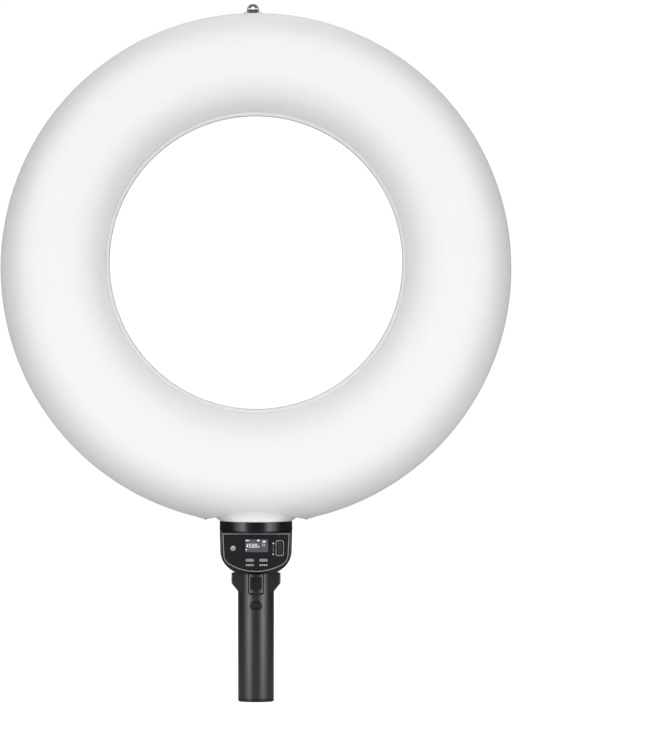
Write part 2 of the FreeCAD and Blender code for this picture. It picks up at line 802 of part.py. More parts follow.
def make_band():
    side = Part.makeCone(
        band_bottom_r, band_top_r, band_height - band_edge, V(0, 0, band_bottom + band_edge), Z_AXIS)
    bevel = Part.makeCone(
        band_bottom_r - band_edge, band_bottom_r, band_edge, V(0, 0, band_bottom), Z_AXIS)
    ring = side.fuse(bevel)
    bore = rod((0, 0, band_bottom - 1), Z_AXIS, band_bore_r, band_height - housing_wall + 1)
    top_hole = rod((0, 0, band_bottom), Z_AXIS, saddle_bore_r, band_height + 1)
    spacer = rod((0, 0, box_top), Z_AXIS, band_bore_r + 1.5, shadow_gap)
    spacer = spacer.cut(rod((0, 0, box_top - 1), Z_AXIS, band_bore_r - 2, 5))
    sleeves = [rod((x, y, box_top), Z_AXIS, screw_r + 1.5, band_top - box_top - 1)
               for x, y in neck_screw_points]
    band = join(ring.cut(bore), spacer, *sleeves)
    holes = [rod((x, y, box_top - 1), Z_AXIS, screw_r + seat_gap, 20) for x, y in neck_screw_points]
    save("band", cut(band, top_hole, *holes))

    screws = []
    for x, y in neck_screw_points:
        head_z = box_top - box_wall - screw_head_height
        head = rod((x, y, head_z), Z_AXIS, screw_head_r, screw_head_height)
        screws.append(head.fuse(rod((x, y, head_z), Z_AXIS, screw_r - shaft_gap, band_top + 6 - head_z)))
    save("neck_screws", *screws)


def make_panel():
    overlay = panel_prism(trim_width, front, panel_floor)
    bezel_seat = front_slab(wheel_x, wheel_z, bezel_width, bezel_height, bezel_corner,
                            front - 1, front + bezel_thick - bezel_proud)
    save("panel_overlay", cut(overlay, bezel_seat, *front_openings(
        slip, front - 1, panel_floor + 1, wheel_chord(panel_floor) + 2 * slip)))
    save("panel_trim", panel_prism(0, front - trim_proud, panel_floor).cut(
        panel_prism(trim_width, front - 1, panel_floor + 1)))

    glass = front_slab(display_x, box_bottom + display_rise, display_width, display_height, 0.5,
                       front + 0.1, wall_inside)
    frame = front_slab(display_x, box_bottom + display_rise, display_width + 2 * display_rim,
                       display_height + 2 * display_rim, 0.5, wall_inside, wall_inside + display_frame_depth)
    save("display", glass.fuse(frame).removeSplitter())

    bezel = front_slab(wheel_x, wheel_z, bezel_width, bezel_height, bezel_corner,
                       front - bezel_proud, front + bezel_thick - bezel_proud)
    window = front_slab(wheel_x, wheel_z, bezel_width - 2 * bezel_line, bezel_height - 2 * bezel_line,
                        bezel_corner - bezel_line, front - 2, front + 2)
    save("wheel_bezel", bezel.cut(window))


def button_parts(name, cap, flange):
    save(name, cap.fuse(flange).removeSplitter())


def make_buttons():
    cap_y = front - button_proud
    flange_y = wall_inside + slip
    flange_back = flange_y + button_flange_thick
    for name, x in zip(("menu_button", "mode_button"), pill_xs):
        cap = pill(x, pill_rise, pill_width, pill_height, cap_y, flange_back)
        flange = pill(x, pill_rise, pill_width + 2 * button_flange, pill_height + 2 * button_flange,
                      flange_y, flange_back)
        button_parts(name, cap, flange)
    centre = (power_x, cap_y, box_bottom + power_rise)
    cap = rod(centre, Y_AXIS, power_r, flange_back - cap_y)
    cap = cap.cut(Part.makeSphere(8.0, V(power_x, cap_y - 7.75, box_bottom + power_rise)))
    flange = rod((power_x, flange_y, centre[2]), Y_AXIS, power_r + button_flange, button_flange_thick)
    button_parts("power_button", cap, flange)


def make_wheel():
    points = []
    for index in range(wheel_teeth):
        for share, depth in ((0.0, 0.0), (0.42, 0.0), (0.55, wheel_tooth_depth), (0.87, wheel_tooth_depth)):
            turn = 360.0 * (index + share) / wheel_teeth
            y, z = on_arc((wheel_y, wheel_z), wheel_r - depth, turn)
            points.append(V(wheel_x - wheel_width / 2, y, z))
    wheel = Part.Face(Part.makePolygon(points + points[:1])).extrude(V(wheel_width, 0, 0))
    dish_r = wheel_r - 3.0
    dishes = [rod((wheel_x + side * wheel_width / 2 - 0.8, wheel_y, wheel_z), X_AXIS, dish_r, 1.6)
              for side in (-1, 1)]
    hub = rod((wheel_x - wheel_width / 2, wheel_y, wheel_z), X_AXIS, axle_r + 1.5, wheel_width)
    bore = rod((wheel_x - wheel_width, wheel_y, wheel_z), X_AXIS, axle_r + shaft_gap, 2 * wheel_width)
    save("thumb_wheel", cut(join(cut(wheel, *dishes), hub), bore))
    reach = wheel_width / 2 + ear_gap + ear_thick
    save("wheel_axle", rod((wheel_x - reach, wheel_y, wheel_z), X_AXIS, axle_r, 2 * reach))


def make_boards():
    board_top = box_top - box_wall - screw_head_height - 0.4
    left = -box_half + box_wall + 3
    right = wheel_x - wheel_width / 2 - ear_gap - ear_thick - 0.5
    board = box((left, control_board_y, box_bottom + 4.2),
                (right, control_board_y + control_board_thick, board_top))
    board = board.common(box_body(box_wall + 1.0, board_top))
    switches = [(power_x, power_rise)] + [(x, pill_rise) for x in pill_xs]
    bodies = [box((x - switch_size / 2, switch_face, box_bottom + rise - switch_size / 2),
                  (x + switch_size / 2, control_board_y + 0.2, box_bottom + rise + switch_size / 2))
              for x, rise in switches]
    chips = [box((-9, control_board_y + 1, box_bottom + 16), (1, control_board_y + 3.0, box_bottom + 26)),
             box((5, control_board_y + 1, box_bottom + 12), (13, control_board_y + 4.5, box_bottom + 17))]
    posts = [rod((x, control_board_y - 1, box_bottom + rise), Y_AXIS, cover_post_r + slip, 5)
             for x, rise in cover_posts]
    save("control_board", cut(join(board, *bodies, *chips), *posts))

    low = box_bottom + driver_rise
    driver = box((-driver_half_width, driver_board_y, low),
                 (driver_half_width, driver_board_y + driver_board_thick, low + driver_height + 7))
    driver = driver.common(box_body(box_wall + 1.0, box_top - box_wall - 0.8))
    coils = [rod((x, driver_board_y + 1, box_bottom + 20), Y_AXIS, 4.5, 7.6) for x in (-14.0, -3.0)]
    wide, deep, tall = connector_size
    plug_low = box_bottom + connector_rise
    plug = box((connector_x - wide / 2, driver_board_y + 1, plug_low),
               (connector_x + wide / 2, driver_board_y + driver_board_thick + deep, plug_low + tall))
    holes = [rod((x, driver_board_y - 1, box_bottom + rise), Y_AXIS, screw_r + seat_gap, 5)
             for x, rise in cover_posts]
    save("driver_board", cut(join(driver, *coils, plug), *holes))

    harness_y = driver_board_y + driver_board_thick + deep / 2
    start = plug_low + tall
    finish = engine_z - lit_radius - board_width / 2 - led_connector_gap - tall
    save("led_harness", rod((connector_x, harness_y, start), Z_AXIS, harness_r, finish - start))
    save("led_connector", box((connector_x - wide / 2, carrier_back, finish),
                              (connector_x + wide / 2, harness_y + harness_r + 0.8, finish + tall)))


# Dock

plinth_screw_points = [(x, y) for x in (-plinth_screw_x, plinth_screw_x)
                       for y in (-plinth_screw_y, plinth_screw_y)]
tongue_end = box_bottom - neck_flange_height - tongue_length


def plinth_hollow(low, high):
    """The wiring shaft from the box down into the tongue."""
    return plan_slab(tongue_width - 2 * tongue_side_wall, tongue_depth - 2 * tongue_front_wall, 2, low, high)


def make_plinth():
    flange = plan_slab(2 * neck_flange_half, neck_flange_depth, neck_flange_corner,
                       box_bottom - neck_flange_height, box_bottom)
    tongue = plan_slab(tongue_width, tongue_depth, tongue_corner, tongue_end, box_bottom)
    hollow = plinth_hollow(tongue_end + tongue_wall, box_bottom + 1)
    notch_low = tongue_end + notch_rise
    notch = box((-notch_half_width, -tongue_depth / 2 - 1, notch_low),
                (notch_half_width, -tongue_depth / 2 + notch_depth, notch_low + notch_height))
    wires = [rod((x, 0, tongue_end - 1), Z_AXIS, 0.6, 10) for x in contact_xs[1:3]]
    holes = [rod((x, y, box_bottom - 9), Z_AXIS, screw_r, 10) for x, y in plinth_screw_points]
    pads = [rod((x, 0, tongue_end - 1), Z_AXIS, contact_r, 1 + contact_height) for x in contact_xs]
    save("dock_plinth", cut(join(flange, tongue), hollow, notch, *wires, *holes, *pads))
    save("dock_contacts", *[rod((x, 0, tongue_end), Z_AXIS, contact_r, contact_height) for x in contact_xs])
    save("plinth_screws", *[
        rod((x, y, box_bottom - 8), Z_AXIS, screw_r - shaft_gap, 8 + box_wall).fuse(
            rod((x, y, box_bottom + box_wall), Z_AXIS, cover_head_r, screw_head_height))
        for x, y in plinth_screw_points])


# Handle

pocket_floor = tongue_end - 0.5
pocket_width = tongue_width + 2 * slip
pocket_depth = tongue_depth + 2 * slip
cavity_low = collar_top - socket_depth
cavity_half = collar_half - collar_wall
cavity_half_depth = collar_half_depth - collar_wall
pivot_z = collar_top - latch_pivot_drop
slot_low = collar_top - latch_slot_height
lever_low = pivot_z - latch_half_height + 0.2
lever_high = pivot_z + latch_half_height
window_low = tongue_end + notch_rise + 0.3
window_high = window_low + notch_height - 0.6


def latch_slot(half, low, high, corner, y_from, y_to):
    """A slot with rounded lower corners, seen from the front."""
    face = outline(
        front_plane, (-half, high), (-half, low + corner),
        (on_arc((-half + corner, low + corner), corner, 225), (-half + corner, low)),
        (half - corner, low), (on_arc((half - corner, low + corner), corner, 315), (half, low + corner)),
        (half, high))
    face.translate(V(0, y_from, 0))
    return face.extrude(V(0, y_to - y_from, 0))


def make_grip():
    tube = Part.makeCone(grip_r - grip_edge, grip_r, grip_edge, V(0, 0, cap_height), Z_AXIS).fuse(
        rod((0, 0, cap_height + grip_edge), Z_AXIS, grip_r, grip_length - grip_edge))
    side_low = collar_top - collar_side_height
    taper_low = side_low - collar_taper_height
    edge = collar_half - collar_chamfer
    waist = grip_r - 0.5
    silhouette = outline(
        front_plane, (-edge, collar_top), (-collar_half, collar_top - collar_chamfer),
        (-collar_half, side_low), (-waist, taper_low), (waist, taper_low), (collar_half, side_low),
        (collar_half, collar_top - collar_chamfer), (edge, collar_top))
    silhouette.translate(V(0, -50, 0))
    lobes = plan_slab(2 * collar_half, 2 * collar_half_depth, collar_corner, taper_low, collar_top)
    lobes = lobes.common(silhouette.extrude(V(0, 100, 0)))
    bore = rod((0, 0, 0), Z_AXIS, grip_r - grip_wall, cavity_low)
    cavity = plan_slab(2 * cavity_half, 2 * cavity_half_depth, cavity_corner, side_low, collar_top + 1)
    lower_cavity = lower_socket(grip_r - grip_wall, cavity_half_depth, cavity_low - 1, side_low + 1)
    slot = latch_slot(latch_slot_half, slot_low, collar_top + 1, latch_slot_corner,
                      -30, -cavity_half_depth + 1)
    recess = front_slab(0, usb_height, usb_recess_width, usb_recess_height, usb_recess_height / 2, -30, 0)
    pin_hole = rod((-latch_pin_half, latch_pivot_y, pivot_z), X_AXIS, latch_pin_r, 2 * latch_pin_half)
    save("grip_body", cut(join(tube, lobes), bore, cavity, lower_cavity, slot, recess, pin_hole))


def lower_socket(radius, front_depth, low, high):
    """A round bar with a flat in front, where the latch has its own space."""
    flat = box((-radius, -front_depth, low), (radius, radius, high))
    return rod((0, 0, low), Z_AXIS, radius, high - low).common(flat)


def make_dock_socket():
    side_low = collar_top - collar_side_height
    upper = plan_slab(2 * (cavity_half - seat_gap), 2 * (cavity_half_depth - seat_gap),
                      cavity_corner, side_low + seat_gap, collar_top - 0.4)
    lower = lower_socket(grip_r - grip_wall - seat_gap, cavity_half_depth - seat_gap,
                         cavity_low, side_low + 1)
    pocket = plan_slab(pocket_width, pocket_depth, tongue_corner, pocket_floor, collar_top + 1)
    window = box((-notch_half_width, -20, window_low), (notch_half_width, -pocket_depth / 2 + 2, window_high))
    pins = [rod((x, 0, cavity_low - 1), Z_AXIS, contact_pin_r, 20) for x in contact_xs]
    save("dock_socket", cut(join(upper, lower), pocket, window, *pins))
    save("contact_pins", *[rod((x, 0, cavity_low - 1.5), Z_AXIS, contact_pin_r - 0.02,
                               tongue_end - 0.2 - cavity_low + 1.5) for x in contact_xs])


def latch_bevels(half, skin_r):
    """Prisms that bevel the lever's two upright edges."""
    near = math.sqrt(skin_r ** 2 - (half - latch_bevel) ** 2)
    far = math.sqrt(skin_r ** 2 - half ** 2) - latch_bevel
    prisms = []
    for side in (-1, 1):
        wedge = outline(
            plan_plane, (side * (half - latch_bevel), -near), (side * half, -far), (side * (half + 1), -far),
            (side * (half + 1), -skin_r - 5), (side * (half - latch_bevel), -skin_r - 5))
        wedge.translate(V(0, 0, lever_low + latch_lip_height))
        prisms.append(wedge.extrude(V(0, 0, lever_high)))
    return prisms


def make_latch():
    half = latch_slot_half - latch_gap
    back_y = -grip_r - latch_proud + latch_thick
    plate = latch_slot(half, lever_low, lever_high, latch_slot_corner - latch_gap, -30, back_y)
    skin = rod((0, 0, lever_low - 1), Z_AXIS, grip_r + latch_proud, lever_high - lever_low + 2)
    lip_top = lever_low + latch_lip_height
    skin_r = grip_r + latch_proud
    lip_foot = Part.makeCone(skin_r, skin_r + latch_lip_proud, 1.5, V(0, 0, lever_low - 0.5), Z_AXIS)
    lip = Part.makeCone(
        skin_r + latch_lip_proud, skin_r, latch_lip_height - 1, V(0, 0, lever_low + 1.0), Z_AXIS)
    lever = cut(plate.common(join(skin, lip, lip_foot)), *latch_bevels(half, skin_r))
    ears = [rod((x, latch_pivot_y, pivot_z), X_AXIS, latch_ear_r, latch_ear_width)
            for x in (-half, half - latch_ear_width)]
    claw_y = leaf_y + leaf_thick / 2 + slip
    claw_top = box((-leaf_half_width, back_y - 0.5, lever_high - 1.2),
                   (leaf_half_width, claw_y + latch_claw, lever_high - 0.3))
    claw_tip = box((-leaf_half_width, claw_y, lever_high - 2.4),
                   (leaf_half_width, claw_y + latch_claw, lever_high - 0.3))
    pin_hole = rod((-20, latch_pivot_y, pivot_z), X_AXIS, latch_pin_r + shaft_gap, 40)
    pad_low = lip_top
    skin_pad = rod((0, 0, pad_low), Z_AXIS, grip_r + latch_proud + 1, pad_height).cut(
        rod((0, 0, pad_low), Z_AXIS, grip_r + latch_proud - pad_thick, pad_height))
    pad_block = box((-pad_half_width, -30, pad_low), (pad_half_width, 0, pad_low + pad_height))
    pocket = skin_pad.common(pad_block)
    save("latch_lever", cut(join(lever, *ears, claw_top, claw_tip), pin_hole, pocket))

    pad = rod((0, 0, pad_low), Z_AXIS, grip_r + latch_proud + pad_rib_depth, pad_height).cut(
        rod((0, 0, pad_low), Z_AXIS, grip_r + latch_proud - pad_thick, pad_height)).common(pad_block)
    pitch = pad_height / pad_ribs
    grooves = []
    for index in range(pad_ribs):
        low = pad_low + pitch * (index + 0.6)
        ring = rod((0, 0, low), Z_AXIS, grip_r + 3, pitch * 0.4).cut(
            rod((0, 0, low), Z_AXIS, grip_r + latch_proud, pitch * 0.4))
        grooves.append(ring)
    save("latch_pad", cut(pad, *grooves))
    save("latch_pin", rod((-latch_pin_half, latch_pivot_y, pivot_z), X_AXIS, latch_pin_r, 2 * latch_pin_half))

    t = leaf_thick / 2
    middle = (window_low + window_high) / 2
    top = lever_high - 1.5
    foot_back = -cavity_half_depth + seat_gap
    foot_low = slot_low + 0.4
    foot_high = foot_low + leaf_foot
    leaf = outline(
        side_plane, (foot_back - leaf_thick, foot_low), (foot_back, foot_low), (foot_back, foot_high),
        (leaf_y + t, foot_high + 1.5), (leaf_y + t, window_low + 0.1), (leaf_tip_y, middle),
        (leaf_y + t, window_high - 0.1), (leaf_y + t, top), (leaf_y - t, top),
        (leaf_y - t, window_high - 0.3),
        (leaf_tip_y - 0.9, middle), (leaf_y - t, window_low + 0.3), (leaf_y - t, foot_high + 1.4),
        (foot_back - leaf_thick, foot_high))
    leaf.translate(V(-leaf_half_width, 0, 0))
    save("catch_spring", leaf.extrude(V(2 * leaf_half_width, 0, 0)))


def stadium(width, height, y_from, y_to):
    return front_slab(0, usb_height, width, height, height / 2, y_from, y_to)


def stadium_wire(inset, y):
    """The outline of the socket's step, drawn in by inset."""
    height = usb_step_height - 2 * inset
    face = rounded_slab(usb_step_width - 2 * inset, height, height / 2, front_plane)
    face.translate(V(0, y, usb_height))
    return face.OuterWire


def make_usb():
    face_y = -grip_r + usb_recess_depth
    step_y = face_y - usb_step_proud
    shell_back = face_y + usb_shell_length
    plug = stadium(usb_recess_width - 0.4, usb_recess_height - 0.4, face_y, charge_board_y - 0.2)
    step = stadium(usb_step_width, usb_step_height, step_y + usb_bevel_depth, face_y + 1)
    bevel = Part.makeLoft([stadium_wire(0, step_y + usb_bevel_depth), stadium_wire(usb_bevel_width, step_y)],
                          True, True)
    socket_hole = stadium(usb_shell_width, usb_shell_height, -grip_r - 1, 0)
    save("usb_bezel", cut(join(plug, step, bevel), socket_hole))
    shell = stadium(usb_shell_width - 0.04, usb_shell_height - 0.04, step_y + 0.2, shell_back)
    inside = stadium(usb_shell_width - 2 * usb_shell_wall, usb_shell_height - 2 * usb_shell_wall,
                     step_y, shell_back - 0.8)
    tongue = box((-usb_tongue_width / 2, step_y + 1.0, usb_height - usb_tongue_thick / 2),
                 (usb_tongue_width / 2, shell_back - 0.5, usb_height + usb_tongue_thick / 2))
    save("usb_socket", join(shell.cut(inside), tongue))

    board = box((-charge_board_half, charge_board_y, usb_height - charge_board_height / 2),
                (charge_board_half, charge_board_y + 1.6, usb_height + charge_board_height / 2))
    chip = box((-3, charge_board_y + 1, usb_height - 3), (3, charge_board_y + 2.6, usb_height + 3))
    coil = box((-3, charge_board_y + 1, usb_height + 3.6), (3, charge_board_y + 5.0, usb_height + 6.4))
    slot = stadium(usb_shell_width, usb_shell_height, -grip_r - 1, charge_board_y + 1.0)
    save("charge_board", cut(join(board, chip, coil), slot))


def make_cap():
    flange = rod((0, 0, 0), Z_AXIS, grip_r, cap_height)
    lower_edge = [e for e in flange.Edges if abs(e.BoundBox.ZMax) < 0.001 and e.BoundBox.XMax > 1]
    flange = flange.makeChamfer(cap_edge_chamfer, lower_edge)
    plug = rod((0, 0, cap_height - 0.5), Z_AXIS, grip_r - grip_wall - seat_gap, cap_plug_length + 0.5)
    turns = [360.0 * index / cap_screw_count + 90 for index in range(cap_screw_count)]
    points = [on_arc((0, 0), cap_screw_circle, turn) for turn in turns]
    holes = [rod((x, y, -1), Z_AXIS, cap_screw_r, 8) for x, y in points]
    heads = [rod((x, y, -1), Z_AXIS, cap_screw_head_r + 0.1, 2.2) for x, y in points]
    bush_hole = rod((0, 0, -1), Z_AXIS, bush_r, bush_length + 1)
    save("end_cap", cut(join(flange, plug), bush_hole, *holes, *heads))
    thread = rod((0, 0, -1), Z_AXIS, thread_r, thread_depth + 1)
    save("tripod_bush", rod((0, 0, 0), Z_AXIS, bush_r - 0.02, bush_length).cut(thread))
    save("cap_screws", *[
        rod((x, y, 0.2), Z_AXIS, cap_screw_head_r, 1.0).fuse(
            rod((x, y, 0.2), Z_AXIS, cap_screw_r - 0.02, 6.5)).cut(
            cross_recess((x, y, 0.2), Z_AXIS, cap_screw_head_r))
        for x, y in points])


def make_battery():
    inside_r = grip_r - grip_wall - seat_gap
    low = cell_low - holder_thick
    cell = rod((0, 0, cell_low), Z_AXIS, cell_r, cell_length - 1)
    tip = rod((0, 0, cell_high - 1.5), Z_AXIS, cell_tip_r, 1.5)
    save("battery_cell", join(cell, tip))
    foot = rod((0, 0, low), Z_AXIS, inside_r, holder_thick + 4).cut(
        rod((0, 0, cell_low), Z_AXIS, cell_r + seat_gap, 10))
    save("cell_holder_bottom", foot)
    head = rod((0, 0, cell_high - 5), Z_AXIS, inside_r, holder_thick - 1 + 5).cut(
        rod((0, 0, cell_high - 6), Z_AXIS, cell_r + seat_gap, 5)).cut(
        rod((0, 0, cell_high - 2), Z_AXIS, cell_tip_r + 1, 2))
    save("cell_holder_top", head)


# Top loop


def make_loop():
    plate_top = ring_top + loop_plate_proud
    pivot = (loop_y, ring_top + loop_pivot_rise)
    plate_half = loop_plate_width / 2 - seat_gap
    plate_half_depth = loop_plate_depth / 2 - seat_gap
    plate = box((loop_x - plate_half, loop_y - plate_half_depth, plate_top - loop_plate_thick),
                (loop_x + plate_half, loop_y + plate_half_depth, plate_top))
    inner = loop_half - loop_leg - slip
    barrel = rod((loop_x - inner, *pivot), X_AXIS, loop_barrel_r, 2 * inner)
    foot = box((loop_x - inner, pivot[0] - loop_barrel_r, plate_top - 0.5),
               (loop_x + inner, pivot[0] + loop_barrel_r, pivot[1]))
    pin_hole = rod((-20, *pivot), X_AXIS, loop_pin_r, 40)
    screw_xs = (loop_x - loop_screw_x, loop_x + loop_screw_x)
    screw_holes = [rod((x, loop_y, plate_top - 10), Z_AXIS, loop_screw_r, 20) for x in screw_xs]
    save("top_loop_base", cut(join(plate, barrel, foot), pin_hole, *screw_holes))
    save("loop_screws", *[
        rod((x, loop_y, plate_top), Z_AXIS, loop_screw_head_r, 0.4).fuse(
            rod((x, loop_y, plate_top - loop_screw_length), Z_AXIS, loop_screw_r - 0.02, loop_screw_length))
        for x in screw_xs])
    save("top_loop_pin", rod((loop_x - loop_half, *pivot), X_AXIS, loop_pin_r, 2 * loop_half))

    shoulder = loop_height - loop_half
    rim = loop_thick / 2
    disc = outline(
        plan_plane, (0, -rim), (loop_half - rim, -rim), ((loop_half, 0), (loop_half - rim, rim)), (0, rim))
    arch = spin_y(disc, shoulder).common(box((-10, -10, shoulder - 0.01), (10, 10, 20)))
    legs = box((-loop_half, -rim, 0), (loop_half, rim, shoulder))
    ends = rod((-loop_half, 0, 0), X_AXIS, rim, 2 * loop_half)
    inside = loop_half - loop_leg
    gap_z = loop_barrel_r + 0.5
    hump = loop_hole_r + loop_hole_flare
    hole = outline(front_plane, (-inside, -5), (-inside, gap_z), (-hump, gap_z + 0.4),
                   ((0, loop_hole_rise + loop_hole_r), (hump, gap_z + 0.4)),
                   (inside, gap_z), (inside, -5))
    hole.translate(V(0, -5, 0))
    bail = join(arch, legs, ends).cut(hole.extrude(V(0, 10, 0)))
    bail = bail.cut(rod((-20, 0, 0), X_AXIS, loop_pin_r + shaft_gap, 40))
    bail.translate(V(loop_x, *pivot))
    save("top_loop_bail", bail)


make_ring()
make_light_engine()
make_saddle()
make_band()
make_box_shells()
make_panel()
make_buttons()
make_wheel()
make_boards()
make_plinth()
make_grip()
make_dock_socket()
make_latch()
make_usb()
make_cap()
make_battery()
make_loop()
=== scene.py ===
# %% [markdown]
# # Dressing an LED ring light
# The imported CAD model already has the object's true shape and size. This lesson gives it a camera, a
# studio and finishes, and adds the few things that CAD leaves out: the lit picture on the display, the
# printed marks on the panel, the power key's light and the tiny contacts in the charging socket.
# The first step loads the model. Nothing that comes from the CAD is moved or reshaped.

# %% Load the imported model
import json
import math

import bmesh
import bpy
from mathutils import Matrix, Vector


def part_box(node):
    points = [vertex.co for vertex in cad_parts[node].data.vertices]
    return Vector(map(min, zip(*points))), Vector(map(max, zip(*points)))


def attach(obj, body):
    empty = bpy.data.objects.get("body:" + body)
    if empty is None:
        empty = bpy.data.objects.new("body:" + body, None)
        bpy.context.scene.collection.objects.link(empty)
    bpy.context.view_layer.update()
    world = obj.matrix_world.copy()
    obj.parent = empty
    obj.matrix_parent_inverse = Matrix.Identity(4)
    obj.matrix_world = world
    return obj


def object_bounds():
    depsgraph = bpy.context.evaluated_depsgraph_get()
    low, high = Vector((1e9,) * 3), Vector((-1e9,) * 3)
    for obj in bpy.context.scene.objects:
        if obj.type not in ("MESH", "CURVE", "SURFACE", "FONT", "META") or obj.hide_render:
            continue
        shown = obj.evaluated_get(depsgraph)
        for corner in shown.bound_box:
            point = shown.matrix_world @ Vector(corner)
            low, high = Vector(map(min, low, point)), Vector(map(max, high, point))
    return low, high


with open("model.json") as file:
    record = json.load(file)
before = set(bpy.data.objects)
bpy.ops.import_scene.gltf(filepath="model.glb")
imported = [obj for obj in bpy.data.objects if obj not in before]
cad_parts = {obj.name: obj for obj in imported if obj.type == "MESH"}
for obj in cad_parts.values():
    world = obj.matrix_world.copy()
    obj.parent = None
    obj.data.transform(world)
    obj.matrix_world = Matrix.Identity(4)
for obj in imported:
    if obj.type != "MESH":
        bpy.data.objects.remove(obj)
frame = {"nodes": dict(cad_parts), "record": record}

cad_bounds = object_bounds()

MM = 0.001
nodes = frame["nodes"]

# %% [markdown]
# ## Places to measure from
# Later steps need to know where the ring, the panel and the keys are. The places could be typed in, but
# then they would go wrong as soon as the model changes. So each is read from the box of the piece it
# belongs to.

# %% Read the main places from the model
def middle(name):
    """The middle of a piece's box."""
    low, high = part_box(name)
    return (low + high) / 2


ring_centre = middle("rear_housing")
panel_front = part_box("panel_overlay")[0].y
print("ring centre at z in mm", round(ring_centre.z / MM, 1))
print("panel front at y in mm", round(panel_front / MM, 2))

# %% [markdown]
# ## The camera
# The photograph was taken from straight in front, from several metres away, with a long lens: the hole
# shows almost none of its side wall. A camera with a long focal length at the same distance gives the
# same flat view. The object stands left of the picture's middle, and the lens looks level at the ring's
# centre, so the framing is made with a small lens shift and not by turning the camera, which would tilt
# the lines.

# %% Place the camera
camera_distance = 6.5           # metres
picture_height = 0.6994         # metres that the picture shows at the object, 752 pixels of 0.93 mm
picture_middle = Vector((0.06325, 0.0, 0.30245))

lens = bpy.data.cameras.new("camera")
lens.sensor_fit = "VERTICAL"
lens.sensor_height = 36.0
lens.lens = lens.sensor_height * camera_distance / picture_height
eye = Vector((0.0, -camera_distance, ring_centre.z))
lens.shift_x = (picture_middle.x - eye.x) / picture_height
lens.shift_y = (picture_middle.z - eye.z) / picture_height
lens.clip_end = 60.0
camera = bpy.data.objects.new("camera", lens)
camera.location = eye
camera.rotation_euler = (math.radians(90), 0, 0)
bpy.context.scene.collection.objects.link(camera)
bpy.context.scene.camera = camera
bpy.context.scene.view_settings.view_transform = "Standard"
print("focal length in mm", round(lens.lens))

# %% [markdown]
# ## Two helpers for colour and nodes
# Hex colours are written for screens, which space out the dark tones. Blender's shaders add up light, so
# they need linear values. One function turns the first into the second.
# A material is a small network of nodes. Written out by hand each node takes five lines, so one function
# adds a node, sets its options and fills its inputs. An input that is given another node's output is
# linked to it.

# %% Colour and node helpers
def linear(hex_colour):
    """The linear RGBA of an sRGB hex colour."""
    channels = [int(hex_colour[i:i + 2], 16) / 255 for i in (1, 3, 5)]
    straight = [c / 12.92 if c <= 0.04045 else ((c + 0.055) / 1.055) ** 2.4 for c in channels]
    return (*straight, 1.0)


def add_node(tree, kind, inputs=None, **settings):
    """Add a node. Inputs are values or other nodes' outputs, by socket name or number."""
    node = tree.nodes.new(kind)
    for setting, value in settings.items():
        setattr(node, setting, value)
    for socket, value in (inputs or {}).items():
        if isinstance(value, bpy.types.NodeSocket):
            tree.links.new(value, node.inputs[socket])
        else:
            node.inputs[socket].default_value = value
    return node


print("white is", [round(v, 2) for v in linear("#FFFFFF")])

# %% [markdown]
# ## The studio
# The photograph shows a pure white backdrop, two tall soft lights beside the camera and some light from
# above. The soft lights can be found from the handle: a bright stripe on a cylinder stands halfway
# between the camera and the light it mirrors. The stripes are brightest about 21 degrees round the tube
# and fade out near 35, so the lights are brightest near 42 degrees and end near 70.
# The backdrop is the world. It is white where the camera looks at it, but the light it gives is dim, and
# dimmest from behind: a real backdrop is hung far off and cut out, and black things keep their dark edges.
# Light Path's camera ray tells the two apart.

# %% The world
world = bpy.data.worlds.new("studio")
bpy.context.scene.world = world
world.use_nodes = True
world_tree = world.node_tree
world_tree.nodes.clear()
backdrop_white = 1.06
room_before = 0.07              # from the camera's side
room_behind = 0.045
before_ends = -0.6              # along y, which runs from -1 at the camera's side to 1 behind the object
behind_starts = 0.3

seen = add_node(world_tree, "ShaderNodeBackground", {
    "Color": linear("#FFFFFF"), "Strength": backdrop_white})
direction = add_node(world_tree, "ShaderNodeTexCoord")
facing = add_node(world_tree, "ShaderNodeSeparateXYZ", {0: direction.outputs["Generated"]})
room = add_node(world_tree, "ShaderNodeMapRange", {
    "Value": facing.outputs["Y"], "From Min": before_ends, "From Max": behind_starts,
    "To Min": room_before, "To Max": room_behind})
given = add_node(world_tree, "ShaderNodeBackground", {
    "Color": linear("#FFFFFF"), "Strength": room.outputs["Result"]})
ray = add_node(world_tree, "ShaderNodeLightPath")
chosen = add_node(world_tree, "ShaderNodeMixShader", {
    0: ray.outputs["Is Camera Ray"], 1: given.outputs[0], 2: seen.outputs[0]})
add_node(world_tree, "ShaderNodeOutputWorld", {"Surface": chosen.outputs[0]})
print("room light", room_behind, "to", room_before)

# %% [markdown]
# A softbox is a flat lamp with the size of its cloth. Its size sets how wide the stripes on the handle
# are, and its radiance sets how bright. Blender asks for the whole power, so the function works it out
# from the radiance. The stripes on the gloss band fall off fast towards the middle and slowly outwards.
# So each softbox is brightest at the edge that is nearer to the camera: there a narrow lamp stands in
# front of the wide one. A third lamp hangs higher on each side. An upright surface can't mirror it into
# the camera, so it adds nothing to the stripes, but it lights the upper slope of the ring. The last two
# lamps hang above the object and high behind it: they light its top and its back.

